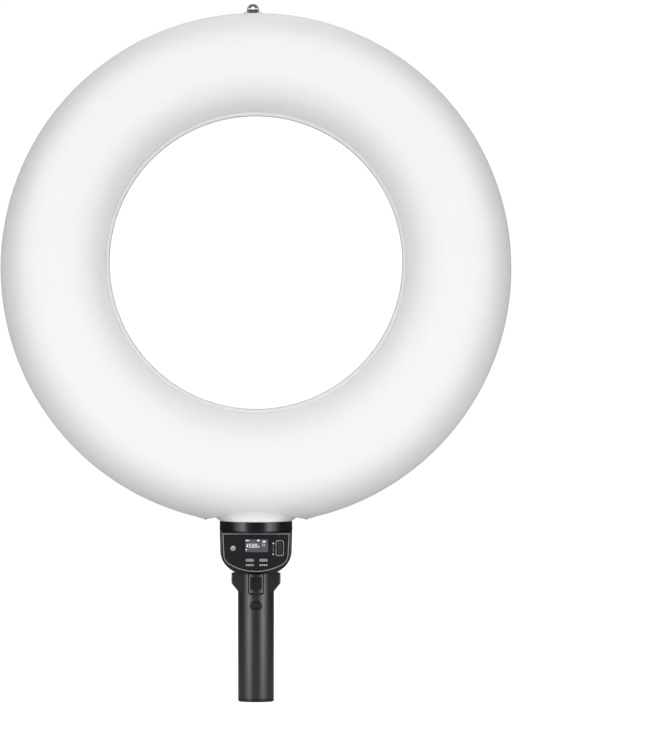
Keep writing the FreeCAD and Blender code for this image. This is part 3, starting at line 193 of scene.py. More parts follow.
# %% Softboxes
def softbox(name, turn, rise, distance, width, tall, radiance):
    """A flat lamp that looks at the object, turn degrees from the camera and rise degrees up."""
    lamp = bpy.data.lights.new(name, "AREA")
    lamp.shape = "RECTANGLE"
    lamp.size = width
    lamp.size_y = tall
    lamp.energy = radiance * math.pi * width * tall
    holder = bpy.data.objects.new(name, lamp)
    target = Vector((0, 0, ring_centre.z))
    away = Vector((
        math.sin(math.radians(turn)) * math.cos(math.radians(rise)),
        -math.cos(math.radians(turn)) * math.cos(math.radians(rise)),
        math.sin(math.radians(rise))))
    holder.location = target + away * distance
    holder.rotation_euler = (-away).to_track_quat("-Z", "Y").to_euler()
    bpy.context.scene.collection.objects.link(holder)


for side, hand in ((-1, "left"), (1, "right")):
    softbox("softbox_" + hand,
            turn=side * 52, rise=5, distance=4.5, width=2.8, tall=3.6, radiance=1.8)
    softbox("softbox_core_" + hand,
            turn=side * 42, rise=5, distance=4.4, width=1.5, tall=3.4, radiance=2.4)
    softbox("softbox_high_" + hand,
            turn=side * 48, rise=40, distance=4.5, width=2.6, tall=1.8, radiance=1.4)
softbox("softbox_top", turn=0, rise=84, distance=3.2, width=2.4, tall=1.8, radiance=1.3)
softbox("softbox_back", turn=180, rise=48, distance=4.5, width=3.0, tall=1.8, radiance=3.3)

# %% [markdown]
# ## The floor
# The floor is pale, and it has to melt into the white behind it: a hard edge would show as a line across
# the handle. A floor with a curved sweep would do that for the camera, but would hide the object from
# behind. So it is a flat disc that grows transparent towards its rim.
# The paper also glows: strongly for the camera, which makes it as white as the backdrop, and faintly for
# every other ray, which fills the shaded underside of the ring with light from below.

# %% Make the floor
floor_gap = 0.2 * MM            # under the object, so that their faces don't lie in one plane
floor_radius = 1.5
floor_fade_from = 0.35
floor_fade_to = 0.95 * floor_radius
floor_glow = 1.05               # for the camera
floor_fill = 0.24               # for all other light
paper_clouds = 90.0             # per metre, so the paper's fine clouds are 11 mm wide

floor_mesh = bpy.data.meshes.new("floor")
shape = bmesh.new()
bmesh.ops.create_circle(shape, cap_ends=True, segments=96, radius=floor_radius)
shape.to_mesh(floor_mesh)
shape.free()
floor = bpy.data.objects.new("floor", floor_mesh)
floor.location = (0, 0, cad_bounds[0][2] - floor_gap)
bpy.context.scene.collection.objects.link(floor)

floor_paper = bpy.data.materials.new("studio_paper")
floor_paper.use_nodes = True
tree = floor_paper.node_tree
tree.nodes.clear()
place = add_node(tree, "ShaderNodeTexCoord")
floor_ray = add_node(tree, "ShaderNodeLightPath")
shine = add_node(tree, "ShaderNodeMapRange", {
    "Value": floor_ray.outputs["Is Camera Ray"], "To Min": floor_fill, "To Max": floor_glow})
from_middle = add_node(tree, "ShaderNodeVectorMath", {0: place.outputs["Object"]}, operation="LENGTH")
fade = add_node(tree, "ShaderNodeMapRange", {
    "Value": from_middle.outputs["Value"], "From Min": floor_fade_from, "From Max": floor_fade_to,
    "To Min": 0.0, "To Max": 1.0}, interpolation_type="SMOOTHSTEP")
fibre = add_node(tree, "ShaderNodeTexNoise", {
    "Vector": place.outputs["Object"], "Scale": paper_clouds, "Detail": 5.0})
tint = add_node(tree, "ShaderNodeMix", {
    "Factor": fibre.outputs["Fac"], "A": linear("#A8A8A8"), "B": linear("#A0A0A0")}, data_type="RGBA")
paper = add_node(tree, "ShaderNodeBsdfPrincipled", {
    "Base Color": tint.outputs["Result"], "Roughness": 0.9, "Specular IOR Level": 0.1,
    "Emission Color": linear("#FFFFFF"), "Emission Strength": shine.outputs[0]})
clear = add_node(tree, "ShaderNodeBsdfTransparent")
mixed = add_node(tree, "ShaderNodeMixShader", {
    0: fade.outputs["Result"], 1: paper.outputs[0], 2: clear.outputs[0]})
add_node(tree, "ShaderNodeOutputMaterial", {"Surface": mixed.outputs[0]})
floor_mesh.materials.append(floor_paper)
print("floor at z in mm", round(floor.location.z / MM, 2))

# %% [markdown]
# ## Finishes
# Each finish begins as what the real surface is made of and how it was made. Moulded plastic has a fine
# spark eroded grain, anodised aluminium a bead-blasted one, a printed film a soft gloss. Three things
# make such a surface look real from a step away: a very small change of colour, a change of roughness,
# and a grain in the light. All three come from noise, whose scale is worked out from a size in
# millimetres.
# The speckle function gives such a noise, in the object's own metres, so that it moves with its piece.
# Nearly all of a noise lies between 0.3 and 0.7, so a second function spreads that part over the numbers
# it is to give.

# %% Pattern helpers
noise_low = 0.3
noise_high = 0.7


def new_finish(name):
    """An empty material and its node tree."""
    material = bpy.data.materials.new(name)
    material.use_nodes = True
    material.node_tree.nodes.clear()
    return material, material.node_tree


def speckle(tree, size_mm, detail=3.0):
    """Noise from 0 to 1 whose lumps are about size_mm wide."""
    place = add_node(tree, "ShaderNodeTexCoord")
    noise = add_node(tree, "ShaderNodeTexNoise", {
        "Vector": place.outputs["Object"], "Scale": 1.0 / (size_mm * MM), "Detail": detail})
    return noise.outputs["Fac"]


def between(tree, amount, low, high):
    """A number that runs from low to high as amount runs over the usual spread of a noise."""
    spread = add_node(tree, "ShaderNodeMapRange", {
        "Value": amount, "From Min": noise_low, "From Max": noise_high, "To Min": low, "To Max": high})
    return spread.outputs["Result"]


def tinted(tree, amount, first, second):
    """A colour between two hex colours."""
    mix = add_node(tree, "ShaderNodeMix", {
        "Factor": amount, "A": linear(first), "B": linear(second)}, data_type="RGBA")
    return mix.outputs["Result"]


def bumped(tree, amount, depth_mm, strength):
    """A bent normal, for a relief of depth_mm."""
    bump = add_node(tree, "ShaderNodeBump", {
        "Height": amount, "Distance": depth_mm * MM, "Strength": strength})
    return bump.outputs["Normal"]


def close_finish(material, tree, sockets):
    """Put the finished sockets on one Principled shader."""
    shader = add_node(tree, "ShaderNodeBsdfPrincipled", sockets)
    add_node(tree, "ShaderNodeOutputMaterial", {"Surface": shader.outputs[0]})
    return material


finishes = {}
print("pattern helpers ready")

# %% [markdown]
# ## Opal polycarbonate
# The dome is opal polycarbonate, about 2 mm thick and moulded against a fine matt tool, so that no lamp
# shows through as a spot. That gives the eye a soft white without a sharp highlight. A little subsurface
# light fills the shaded slopes, as the white filler in real opal sheet does. The grain is 0.4 mm, drawn
# at 0.9 mm, and hardly shows at this distance, so a wider unevenness of 30 mm gives the surface its
# slight life.
# The lamps behind it burn low. Their light comes through brightest over the lamp rows, in the middle of
# the band, and fades to nothing at both edges of the dome. The distance from that middle circle drives
# the glow.

# %% Make the opal finish
lamps_low, lamps_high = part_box("led_packages")
lamp_rows_half = 11.0 * MM      # from the middle of the two rows to the outer lamps' far side
lamp_row_radius = (lamps_high.x - lamps_low.x) / 2 - lamp_rows_half
lamp_centre_z = (lamps_low.z + lamps_high.z) / 2
glow_flat = 7.0 * MM            # half the width of the evenly lit middle
glow_reach = 52.0 * MM
lamp_glow = 0.165


def opal_polycarbonate():
    material, tree = new_finish("opal_polycarbonate_moulded")
    wide = speckle(tree, 30.0, 2.0)
    grain = speckle(tree, 0.9, 2.0)
    place = add_node(tree, "ShaderNodeTexCoord")
    from_centre = add_node(tree, "ShaderNodeVectorMath", {
        0: place.outputs["Object"], 1: (0.0, 0.0, lamp_centre_z)}, operation="SUBTRACT")
    flattened = add_node(tree, "ShaderNodeVectorMath", {
        0: from_centre.outputs[0], 1: (1.0, 0.0, 1.0)}, operation="MULTIPLY")
    reach = add_node(tree, "ShaderNodeVectorMath", {0: flattened.outputs[0]}, operation="LENGTH")
    away = add_node(tree, "ShaderNodeMath", {
        0: reach.outputs["Value"], 1: lamp_row_radius}, operation="SUBTRACT")
    beside = add_node(tree, "ShaderNodeMath", {0: away.outputs[0]}, operation="ABSOLUTE")
    glow = add_node(tree, "ShaderNodeMapRange", {
        "Value": beside.outputs[0], "From Min": glow_flat, "From Max": glow_reach,
        "To Min": 1.0, "To Max": 0.0}, interpolation_type="SMOOTHSTEP")
    shine = add_node(tree, "ShaderNodeMix", {
        "Factor": glow.outputs["Result"], "A": linear("#000000"), "B": linear("#FFFFFF")}, data_type="RGBA")
    return close_finish(material, tree, {
        "Emission Color": shine.outputs["Result"],
        "Emission Strength": lamp_glow,
        "Base Color": tinted(tree, wide, "#F6F6F5", "#F1F2F2"),
        "Roughness": between(tree, grain, 0.50, 0.60),
        "IOR": 1.58,
        "Specular IOR Level": 0.35,
        "Subsurface Weight": 0.12,
        "Subsurface Radius": (1.0, 1.0, 1.0),
        "Subsurface Scale": 0.002,
        "Normal": bumped(tree, grain, 0.02, 0.4)})


finishes["opal_diffuser"] = opal_polycarbonate()
print("glow in the middle of the band, at a radius in mm of", round(lamp_row_radius / MM, 1))

# %% [markdown]
# ## ABS and nylon
# The rear shell and the flared neck are white ABS, which, unlike the opal dome, lets no light through. The
# control box is black ABS, its two long keys are grey, and the holders inside are nylon. They all come
# from textured moulds. On the outside the grain is 0.3 to 0.5 mm, drawn at 0.5 to 0.8 mm to show.
# The neck has a finish of its own, with a painted shade. Its colour is bright at its foot and turns grey
# where it meets the ring, as shade would fall there, so that the seam between them hardly shows. The
# painted grey begins along an arch, highest in the middle.

# %% Make the moulded plastics
# Where the painted shade on the neck begins and ends, in height above its foot.
saddle_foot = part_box("saddle")[0].z
painted_shade_from = saddle_foot + 2.8 * MM
painted_shade_to = saddle_foot + 10.3 * MM
painted_shade_arch = 9.5                 # off the middle the grey starts lower, by this times the distance squared


def moulded_abs(name, light, dark, rough, grain_mm, depth_mm, gloss_level=0.5):
    """ABS from a textured mould: two close colours, a grain, and roughness that follows the grain."""
    material, tree = new_finish(name)
    wide = speckle(tree, 18.0, 3.0)
    grain = speckle(tree, grain_mm, 2.0)
    return close_finish(material, tree, {
        "Base Color": tinted(tree, wide, light, dark),
        "Roughness": between(tree, grain, rough - 0.05, rough + 0.06),
        "IOR": 1.54,
        "Specular IOR Level": gloss_level,
        "Normal": bumped(tree, grain, depth_mm, 0.5)})


def saddle_abs_painted_shade(name, foot, edge, rough, grain_mm, depth_mm):
    """White ABS with a bright foot and a painted shade that turns it grey towards its upper edge."""
    material, tree = new_finish(name)
    place = add_node(tree, "ShaderNodeTexCoord")
    along = add_node(tree, "ShaderNodeSeparateXYZ", {0: place.outputs["Object"]})
    square = add_node(tree, "ShaderNodeMath", {
        0: along.outputs["X"], 1: along.outputs["X"]}, operation="MULTIPLY")
    arched = add_node(tree, "ShaderNodeMath", {
        0: square.outputs[0], 1: painted_shade_arch, 2: along.outputs["Z"]}, operation="MULTIPLY_ADD")
    painted_shade_rise = add_node(tree, "ShaderNodeMapRange", {
        "Value": arched.outputs[0], "From Min": painted_shade_from, "From Max": painted_shade_to})
    grain = speckle(tree, grain_mm, 2.0)
    return close_finish(material, tree, {
        "Base Color": tinted(tree, painted_shade_rise.outputs["Result"], foot, edge),
        "Roughness": between(tree, grain, rough - 0.05, rough + 0.06),
        "IOR": 1.54,
        "Specular IOR Level": 0.4,
        "Normal": bumped(tree, grain, depth_mm, 0.5)})


finishes["white_shell"] = moulded_abs(
    "abs_white_moulded", "#F4F4F4", "#F0F0F0", rough=0.48, grain_mm=0.8, depth_mm=0.02, gloss_level=0.4)
finishes["satin_black"] = moulded_abs(
    "abs_black_fine_grain", "#1D1E1F", "#18191A", rough=0.42, grain_mm=0.7, depth_mm=0.025)
finishes["inner_plastic"] = moulded_abs(
    "nylon_black_moulded", "#202021", "#19191A", rough=0.50, grain_mm=0.9, depth_mm=0.02)
finishes["connector"] = moulded_abs(
    "nylon_cream_moulded", "#E6E1D3", "#DCD6C5", rough=0.45, grain_mm=0.8, depth_mm=0.01)
finishes["grey_key"] = moulded_abs(
    "abs_grey_key", "#A1A2A5", "#989A9D", rough=0.36, grain_mm=0.5, depth_mm=0.01)
print("moulded plastics", len(finishes) - 1)

# %% [markdown]
# ## Gloss black
# The band under the neck is black ABS from a polished mould, and so is the rim round the charging socket.
# Almost nothing scatters from them: what is seen are the two softboxes, mirrored as two soft upright
# stripes. Their softness comes from roughness, and a faint orange-peel of 6 mm, or 3 mm on the small rim,
# left by the mould's polish, keeps the stripes from looking ruled.

# %% Make the polished plastics
def polished_abs(name, light, dark, rough, wave_mm):
    """Black ABS from a polished mould, with a slow change in its gloss."""
    material, tree = new_finish(name)
    wave = speckle(tree, wave_mm, 1.0)
    scuff = speckle(tree, 11.0, 3.0)
    return close_finish(material, tree, {
        "Base Color": tinted(tree, wave, light, dark),
        "Roughness": between(tree, scuff, rough - 0.015, rough + 0.02),
        "IOR": 1.54,
        "Normal": bumped(tree, wave, 0.006, 0.4)})


finishes["gloss_black"] = polished_abs("abs_black_polished", "#161617", "#131314", rough=0.27, wave_mm=6.0)
finishes["latch_black"] = polished_abs("abs_black_latch", "#191A1B", "#151617", rough=0.30, wave_mm=3.0)
print("polished plastics ready")

# %% [markdown]
# ## The panel film
# The flat front is covered by a polycarbonate film that is printed on its back in a very dark blue grey.
# Its front is finely matt, so it stays darker and more even than the shell round it.

# %% Make the printed film
def printed_film():
    material, tree = new_finish("polycarbonate_film_printed")
    wide = speckle(tree, 12.0, 2.0)
    grain = speckle(tree, 0.5, 2.0)
    return close_finish(material, tree, {
        "Base Color": tinted(tree, wide, "#15181C", "#121519"),
        "Roughness": between(tree, grain, 0.40, 0.48),
        "IOR": 1.58,
        "Specular IOR Level": 0.35,
        "Normal": bumped(tree, grain, 0.008, 0.4)})


finishes["panel_film"] = printed_film()
print(finishes["panel_film"].name)

# %% [markdown]
# ## The silver line
# A bare metal line in the flat front would mirror the dark room before it and turn nearly black. In the
# photograph the line is an even light grey, so it is a lacquer with fine metal flakes in it: about two
# thirds of its light is scattered by the flakes, which lie at all angles, and a third is mirrored. Flakes
# are 0.1 mm, drawn at 0.3 mm.

# %% Make the flake lacquer
def flake_lacquer():
    material, tree = new_finish("lacquer_silver_flake")
    flakes = speckle(tree, 0.3, 1.0)
    return close_finish(material, tree, {
        "Base Color": tinted(tree, flakes, "#D2D3D5", "#BABBBD"),
        "Metallic": 0.35,
        "Roughness": between(tree, flakes, 0.34, 0.46),
        "Normal": bumped(tree, flakes, 0.006, 0.4)})


finishes["silver_line"] = flake_lacquer()
print(finishes["silver_line"].name)

# %% [markdown]
# ## Anodised aluminium and other metals
# The handle is an aluminium tube, bead blasted and anodised in a dark grey. The blasting spreads each
# softbox into a broad stripe, and the dye makes the metal itself dark: a metal's colour is the colour of
# its mirror image, so a dark grey base gives grey stripes on a nearly black tube. Blasting pits are 0.2
# mm, drawn at 0.6 mm, and a slow change of 25 mm in the roughness gives the stripes their slightly cloudy
# edge. Screws, springs, contacts, the loop and the power key are drawn or turned instead, which leaves
# fine lines along one axis. So the noise for them is squeezed along that axis, which stretches its lumps
# into lines.

# %% Make the metals
line_squeeze = 0.04             # makes a line 25 times as long as it is wide


def blasted_metal(name, light, dark, rough, pit_mm, depth_mm):
    """Bead-blasted metal: a fine even pitting and a cloudy roughness."""
    material, tree = new_finish(name)
    cloud = speckle(tree, 25.0, 4.0)
    pits = speckle(tree, pit_mm, 2.0)
    return close_finish(material, tree, {
        "Base Color": tinted(tree, cloud, light, dark),
        "Metallic": 1.0,
        "Roughness": between(tree, cloud, rough - 0.03, rough + 0.03),
        "Normal": bumped(tree, pits, depth_mm, 0.5)})


def drawn_metal(name, light, dark, rough, along="Z", line_mm=0.15):
    """Drawn, brushed or turned metal: fine lines that run along one axis."""
    material, tree = new_finish(name)
    place = add_node(tree, "ShaderNodeTexCoord")
    stretch = tuple(line_squeeze if axis == along else 1.0 for axis in "XYZ")
    squeezed = add_node(tree, "ShaderNodeVectorMath", {
        0: place.outputs["Object"], 1: stretch}, operation="MULTIPLY")
    lines = add_node(tree, "ShaderNodeTexNoise", {
        "Vector": squeezed.outputs[0], "Scale": 1.0 / (line_mm * MM), "Detail": 4.0})
    return close_finish(material, tree, {
        "Base Color": tinted(tree, lines.outputs["Fac"], light, dark),
        "Metallic": 1.0,
        "Roughness": between(tree, lines.outputs["Fac"], rough - 0.06, rough + 0.08),
        "Normal": bumped(tree, lines.outputs["Fac"], 0.01, 0.4)})


finishes["handle_metal"] = blasted_metal(
    "aluminium_anodised_dark_grey", "#5B5B5C", "#565657", rough=0.36, pit_mm=0.6, depth_mm=0.008)
finishes["steel"] = drawn_metal("steel_screw_zinc_plated", "#B9BBBD", "#A4A6A9", rough=0.30)
finishes["spring_steel"] = drawn_metal("spring_steel_strip", "#A7A9AC", "#8F9194", rough=0.26)
finishes["power_key"] = drawn_metal(
    "aluminium_key_turned", "#C4C6C8", "#AEB0B2", rough=0.30, along="Y", line_mm=0.2)
finishes["socket_metal"] = drawn_metal("steel_shell_plated", "#737477", "#696A6D", rough=0.50, along="Y")
finishes["loop_metal"] = drawn_metal(
    "zinc_casting_plated", "#B4B5B7", "#9C9DA0", rough=0.32, along="X", line_mm=0.3)
finishes["brass"] = drawn_metal("brass_turned", "#CBA24E", "#B68C3C", rough=0.28, line_mm=0.3)
finishes["gold_contact"] = drawn_metal("contact_gold_plated", "#E2B85C", "#D2A547", rough=0.20, line_mm=0.3)
print("metals ready")

# %% [markdown]
# ## Rubber
# The pad on the latch and the dial's tread are soft rubber: they scatter a little light from a dusty
# surface and have no clear highlight. The dust is a slightly lighter grey, in patches of 4 mm. The cable
# inside has a jacket of silicone, which looks alike.

# %% Make the rubber
def soft_rubber(name, deep, bloom, rough):
    """Moulded rubber with a dusty bloom."""
    material, tree = new_finish(name)
    dust = speckle(tree, 4.0, 5.0)
    grit = speckle(tree, 0.5, 2.0)
    return close_finish(material, tree, {
        "Base Color": tinted(tree, dust, deep, bloom),
        "Roughness": between(tree, grit, rough - 0.06, rough + 0.06),
        "IOR": 1.52,
        "Specular IOR Level": 0.3,
        "Sheen Weight": 0.08,
        "Sheen Roughness": 0.5,
        "Normal": bumped(tree, grit, 0.03, 0.6)})


finishes["dial_rubber"] = soft_rubber("rubber_dial_tread", "#303234", "#3B3D40", rough=0.55)
finishes["grip_pad"] = soft_rubber("rubber_latch_pad", "#0F1011", "#17181A", rough=0.62)
finishes["harness"] = soft_rubber("silicone_cable_jacket", "#17181A", "#222326", rough=0.50)
print("rubber ready")

# %% [markdown]
# ## Boards, lamps and the cell
# These lie inside and would show only with a cover off, but they are finished too. A circuit board is
# woven glass under green lacquer, so its colour follows a weave. The lamps are yellow phosphor in clear
# silicone, and the cell has a blue shrink wrap.
# The threads of real board cloth are 0.6 mm apart. The wave texture counts in radians, so a scale worked
# out from that size draws them 3.8 mm apart, coarse enough to show.

# %% Make the inner finishes
thread_mm = 0.6
wave_factor = 20                # the texture itself multiplies the place by this


def lacquered_board(name, light, dark):
    """Glass-fibre board under lacquer: two crossed sets of fine bands."""
    material, tree = new_finish(name)
    place = add_node(tree, "ShaderNodeTexCoord")
    weave = []
    for axis in ("X", "Z"):
        weave.append(add_node(tree, "ShaderNodeTexWave", {
            "Vector": place.outputs["Object"], "Scale": 1.0 / (thread_mm * MM) / wave_factor,
            "Distortion": 0.4}, bands_direction=axis))
    cloth = add_node(tree, "ShaderNodeMath", {
        0: weave[0].outputs["Fac"], 1: weave[1].outputs["Fac"]}, operation="MULTIPLY")
    return close_finish(material, tree, {
        "Base Color": tinted(tree, cloth.outputs[0], dark, light),
        "Roughness": between(tree, speckle(tree, 3.0), 0.28, 0.36),
        "Coat Weight": 0.5,
        "Coat Roughness": 0.15,
        "Normal": bumped(tree, cloth.outputs[0], 0.01, 0.3)})


def phosphor_lamp():
    material, tree = new_finish("phosphor_in_silicone")
    return close_finish(material, tree, {
        "Base Color": tinted(tree, speckle(tree, 1.2), "#F2D25A", "#E5BF42"),
        "Roughness": between(tree, speckle(tree, 0.5), 0.35, 0.45),
        "Coat Weight": 0.3})


def shrink_wrap():
    material, tree = new_finish("pvc_shrink_wrap")
    fold = speckle(tree, 9.0, 4.0)
    return close_finish(material, tree, {
        "Base Color": tinted(tree, fold, "#2B4E8C", "#25447C"),
        "Roughness": between(tree, fold, 0.22, 0.32),
        "Normal": bumped(tree, fold, 0.05, 0.5)})


finishes["circuit_board"] = lacquered_board("board_green_lacquer", "#2F7A4A", "#1F5A34")
finishes["white_board"] = lacquered_board("board_white_lacquer", "#EEEEEA", "#DEDED8")
finishes["carrier_sheet"] = blasted_metal(
    "aluminium_sheet_white_coated", "#E4E4E2", "#D8D8D6", rough=0.5, pit_mm=0.8, depth_mm=0.01)
finishes["led_phosphor"] = phosphor_lamp()
finishes["cell_wrap"] = shrink_wrap()
print("finishes", len(finishes))

# %% [markdown]
# ## The display's glass, and a finish for every node
# The display is a small window of glass over a lit panel. The glass block itself is a dark grey violet,
# with a clear gloss over it. The picture goes in front of it in a later step.
# That was the last finish. The record says which material each node has, so a loop puts them all on. Two
# nodes have a finish of their own: the neck, whose upper edge has a painted shade in its colour, and the
# latch's pin, whose steel is blackened so that its ends don't shine in the gap beside the latch.

# %% Make the glass and put every finish on its node
def display_glass():
    material, tree = new_finish("glass_over_lit_panel")
    cloud = speckle(tree, 6.0, 2.0)
    return close_finish(material, tree, {
        "Base Color": tinted(tree, cloud, "#2C2D33", "#292A30"),
        "Roughness": between(tree, cloud, 0.10, 0.14),
        "Coat Weight": 0.6,
        "Coat Roughness": 0.06})


finishes["display_glass"] = display_glass()
# The neck gets the finish with the painted shade on its upper edge.
own_finishes = {
    "saddle": saddle_abs_painted_shade("abs_white_saddle_painted_shade", "#FDFDFD", "#E2E2E2", rough=0.48, grain_mm=0.8, depth_mm=0.02),
    "latch_pin": drawn_metal("steel_pin_blackened", "#37383A", "#2D2E30", rough=0.40, along="X")}
for entry in frame["record"]["subparts"]:
    node = nodes[entry["node"]]
    finish = own_finishes.get(entry["node"], finishes[entry["material_slot"]])
    if not node.material_slots:
        node.data.materials.append(finish)
    for slot in node.material_slots:
        slot.material = finish

# %% [markdown]
# ## The picture on the display
# A real display of this kind is a lit panel behind glass: an even grey violet ground with white figures
# on it. The figures could be painted by a shader, but then they would be hard to place. Small flat shapes
# a few hundredths of a millimetre in front of the glass are simpler, and each can glow by itself.
# The first is the ground: a rounded sheet, a little smaller than the glass.

# %% Sheet helpers and the size of the glass
sheet_thick = 0.02 * MM


def rounded_outline(width, height, corner, steps=8):
    """Points of a rounded rectangle round (0, 0), anticlockwise."""
    points = []
    for turn, sx, sz in ((0, 1, 1), (90, -1, 1), (180, -1, -1), (270, 1, -1)):
        middle_x = sx * (width / 2 - corner)
        middle_z = sz * (height / 2 - corner)
        for step in range(steps + 1):
            angle = math.radians(turn + 90 * step / steps)
            points.append((middle_x + corner * math.cos(angle), middle_z + corner * math.sin(angle)))
    return points


def add_sheet(mesh, outline, x, y, z, thick=sheet_thick):
    """Add a flat shape that faces the front: its front is at y, and its back thick behind."""
    front = [mesh.verts.new((x + px, y, z + pz)) for px, pz in outline]
    back = [mesh.verts.new((x + px, y + thick, z + pz)) for px, pz in outline]
    mesh.faces.new(front)
    mesh.faces.new(list(reversed(back)))
    for index in range(len(outline)):
        after = (index + 1) % len(outline)
        mesh.faces.new((front[index], back[index], back[after], front[after]))


def add_plate(mesh, size_mm, x, y, z, thick=sheet_thick):
    """Add a rounded sheet. Its width, height and corner are in mm, the rest in metres."""
    width, height, corner = size_mm
    add_sheet(mesh, rounded_outline(width * MM, height * MM, corner * MM), x, y, z, thick)


def new_piece(name, mesh, finish, body):
    """Turn a bmesh into a piece that rides on a body."""
    bmesh.ops.recalc_face_normals(mesh, faces=mesh.faces)
    data = bpy.data.meshes.new(name)
    mesh.to_mesh(data)
    mesh.free()
    piece = bpy.data.objects.new(name, data)
    bpy.context.scene.collection.objects.link(piece)
    piece.data.materials.append(finish)
    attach(piece, body)
    return piece


screen_low, screen_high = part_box("display")
screen_middle = middle("display")
glass_rim = 1.8 * MM            # frame round the glass, behind the wall
glass_width = screen_high.x - screen_low.x - 2 * glass_rim
glass_height = screen_high.z - screen_low.z - 2 * glass_rim
print("glass in mm", round(glass_width / MM, 1), round(glass_height / MM, 1))

# %% [markdown]
# The ground glows. Lit panels have a fine grid of dots, here 0.25 mm apart, and are never lit quite
# evenly. Emission gives the glow, and a glossy coat over a dark base keeps the glass in front of it.

# %% Light the ground
dot_pitch = 0.25 * MM
ground_inset = 0.5 * MM         # by how much the ground is narrower and lower than the glass
ground_corner = 0.3 * MM
ground_y = screen_low.y - 0.03 * MM     # just in front of the glass


def lit_ground():
    material, tree = new_finish("lit_panel_ground")
    place = add_node(tree, "ShaderNodeTexCoord")
    dots = add_node(tree, "ShaderNodeTexVoronoi", {
        "Vector": place.outputs["Object"], "Scale": 1.0 / dot_pitch})
    uneven = speckle(tree, 9.0, 2.0)
    glow = tinted(tree, uneven, "#50525B", "#5D5F69")
    dimmed = add_node(tree, "ShaderNodeMix", {
        "Factor": between(tree, dots.outputs["Distance"], 0.0, 0.12), "A": glow, "B": linear("#101014")},
        data_type="RGBA")
    return close_finish(material, tree, {
        "Base Color": linear("#0C0C0E"),
        "Roughness": 0.18,
        "Emission Color": dimmed.outputs["Result"],
        "Emission Strength": 1.12,
        "Coat Weight": 0.4,
        "Coat Roughness": 0.08})


sheet = bmesh.new()
ground_outline = rounded_outline(glass_width - ground_inset, glass_height - ground_inset, ground_corner)
add_sheet(sheet, ground_outline, screen_middle.x, ground_y, screen_middle.z)
ground = new_piece("display_picture", sheet, lit_ground(), "head")
print("ground", [round(v / MM, 1) for v in ground.dimensions])

# %% [markdown]
# The figures are plain numbers, drawn as strokes. A stroke is a path of points with a width, as a pen
# draws it, and each figure is one stroke in a cell that is 1 wide and 2 high. The same function draws
# them all, so a number is only a text of figures.

# %% Draw figures with strokes
FIGURES = {
    "0": [(0.25, 0), (0.75, 0), (1, 0.4), (1, 1.6), (0.75, 2), (0.25, 2), (0, 1.6), (0, 0.4), (0.25, 0)],
    "2": [(0, 1.6), (0.25, 2), (0.75, 2), (1, 1.6), (1, 1.25), (0, 0.1), (0, 0), (1, 0)],
    "4": [(0.75, 0), (0.75, 2), (0, 0.7), (0, 0.6), (1, 0.6)],
    "5": [(0.95, 2), (0.1, 2), (0.05, 1.15), (0.7, 1.2), (1, 0.85), (1, 0.4), (0.7, 0), (0.2, 0), (0, 0.3)],
}
figure_step = 1.65              # from one figure to the next, in cell widths


def add_stroke(mesh, points, pen, y):
    """A flat pen stroke through points: a box for each run and a disc at each point."""
    for start, end in zip(points, points[1:]):
        run = Vector((end[0] - start[0], end[1] - start[1]))
        side = Vector((-run.y, run.x)).normalized() * pen / 2
        corners = [
            (start[0] - side.x, start[1] - side.y), (end[0] - side.x, end[1] - side.y),
            (end[0] + side.x, end[1] + side.y), (start[0] + side.x, start[1] + side.y)]
        add_sheet(mesh, corners, 0, y, 0)
    for x, z in points:
        dot = [(pen / 2 * math.cos(math.radians(a)), pen / 2 * math.sin(math.radians(a)))
               for a in range(0, 360, 45)]
        add_sheet(mesh, dot, x, y, z)


def add_text(mesh, text, left, low, tall, pen, y):
    """Write figures from left to right; tall is their height and pen the width of their strokes."""
    unit = tall / 2
    for index, figure in enumerate(text):
        corner = left + index * unit * figure_step
        add_stroke(mesh, [(corner + px * unit, low + pz * unit) for px, pz in FIGURES[figure]], pen, y)


print("figures", "".join(sorted(FIGURES)))

# %% [markdown]
# Figures on a lit panel shine, so their finish is mostly emission. White ones are a little over full
# white, as they are in the photograph, and the two warm ones are amber. Plain bars and dots stand for the
# small signs. All of them are placed in millimetres from the upper left corner of the glass, to the right
# and down.

# %% Write on the display
def glowing_ink(name, hex_colour, glow):
    """Lit dots of one colour, with the dot grid just visible."""
    material, tree = new_finish(name)
    place = add_node(tree, "ShaderNodeTexCoord")
    dots = add_node(tree, "ShaderNodeTexVoronoi", {
        "Vector": place.outputs["Object"], "Scale": 1.0 / dot_pitch})
    shade = add_node(tree, "ShaderNodeMix", {
        "Factor": between(tree, dots.outputs["Distance"], 0.0, 0.15),
        "A": linear(hex_colour), "B": linear("#303030")}, data_type="RGBA")
    return close_finish(material, tree, {
        "Base Color": linear("#101010"),
        "Roughness": 0.4,
        "Emission Color": shade.outputs["Result"],
        "Emission Strength": glow})


ink_y = screen_low.y - 0.055 * MM       # just in front of the ground
screen_left = screen_middle.x - glass_width / 2
screen_top = screen_middle.z + glass_height / 2


def write_number(mesh, text, right, down, tall, pen):
    """Write a number whose lower left corner is right of and down from the glass's corner, in mm."""
    add_text(mesh, text, screen_left + right * MM, screen_top - down * MM, tall * MM, pen * MM, ink_y)


white_ink = bmesh.new()
write_number(white_ink, "4500", right=1.5, down=7.9, tall=3.2, pen=0.46)
write_number(white_ink, "0", right=12.2, down=7.9, tall=1.6, pen=0.34)
for size_mm, right, down in (
        ((3.5, 0.75, 0.2), 2.3, 1.4), ((2.4, 1.2, 0.4), 12.4, 1.4), ((1.1, 1.1, 0.5), 1.3, 9.9),
        ((3.2, 0.9, 0.4), 17.8, 2.6), ((1.5, 1.2, 0.55), 17.8, 2.1)):
    add_plate(white_ink, size_mm, screen_left + right * MM, ink_y, screen_top - down * MM)
new_piece("display_figures", white_ink, glowing_ink("lit_figures_white", "#FFFFFF", glow=1.15), "head")

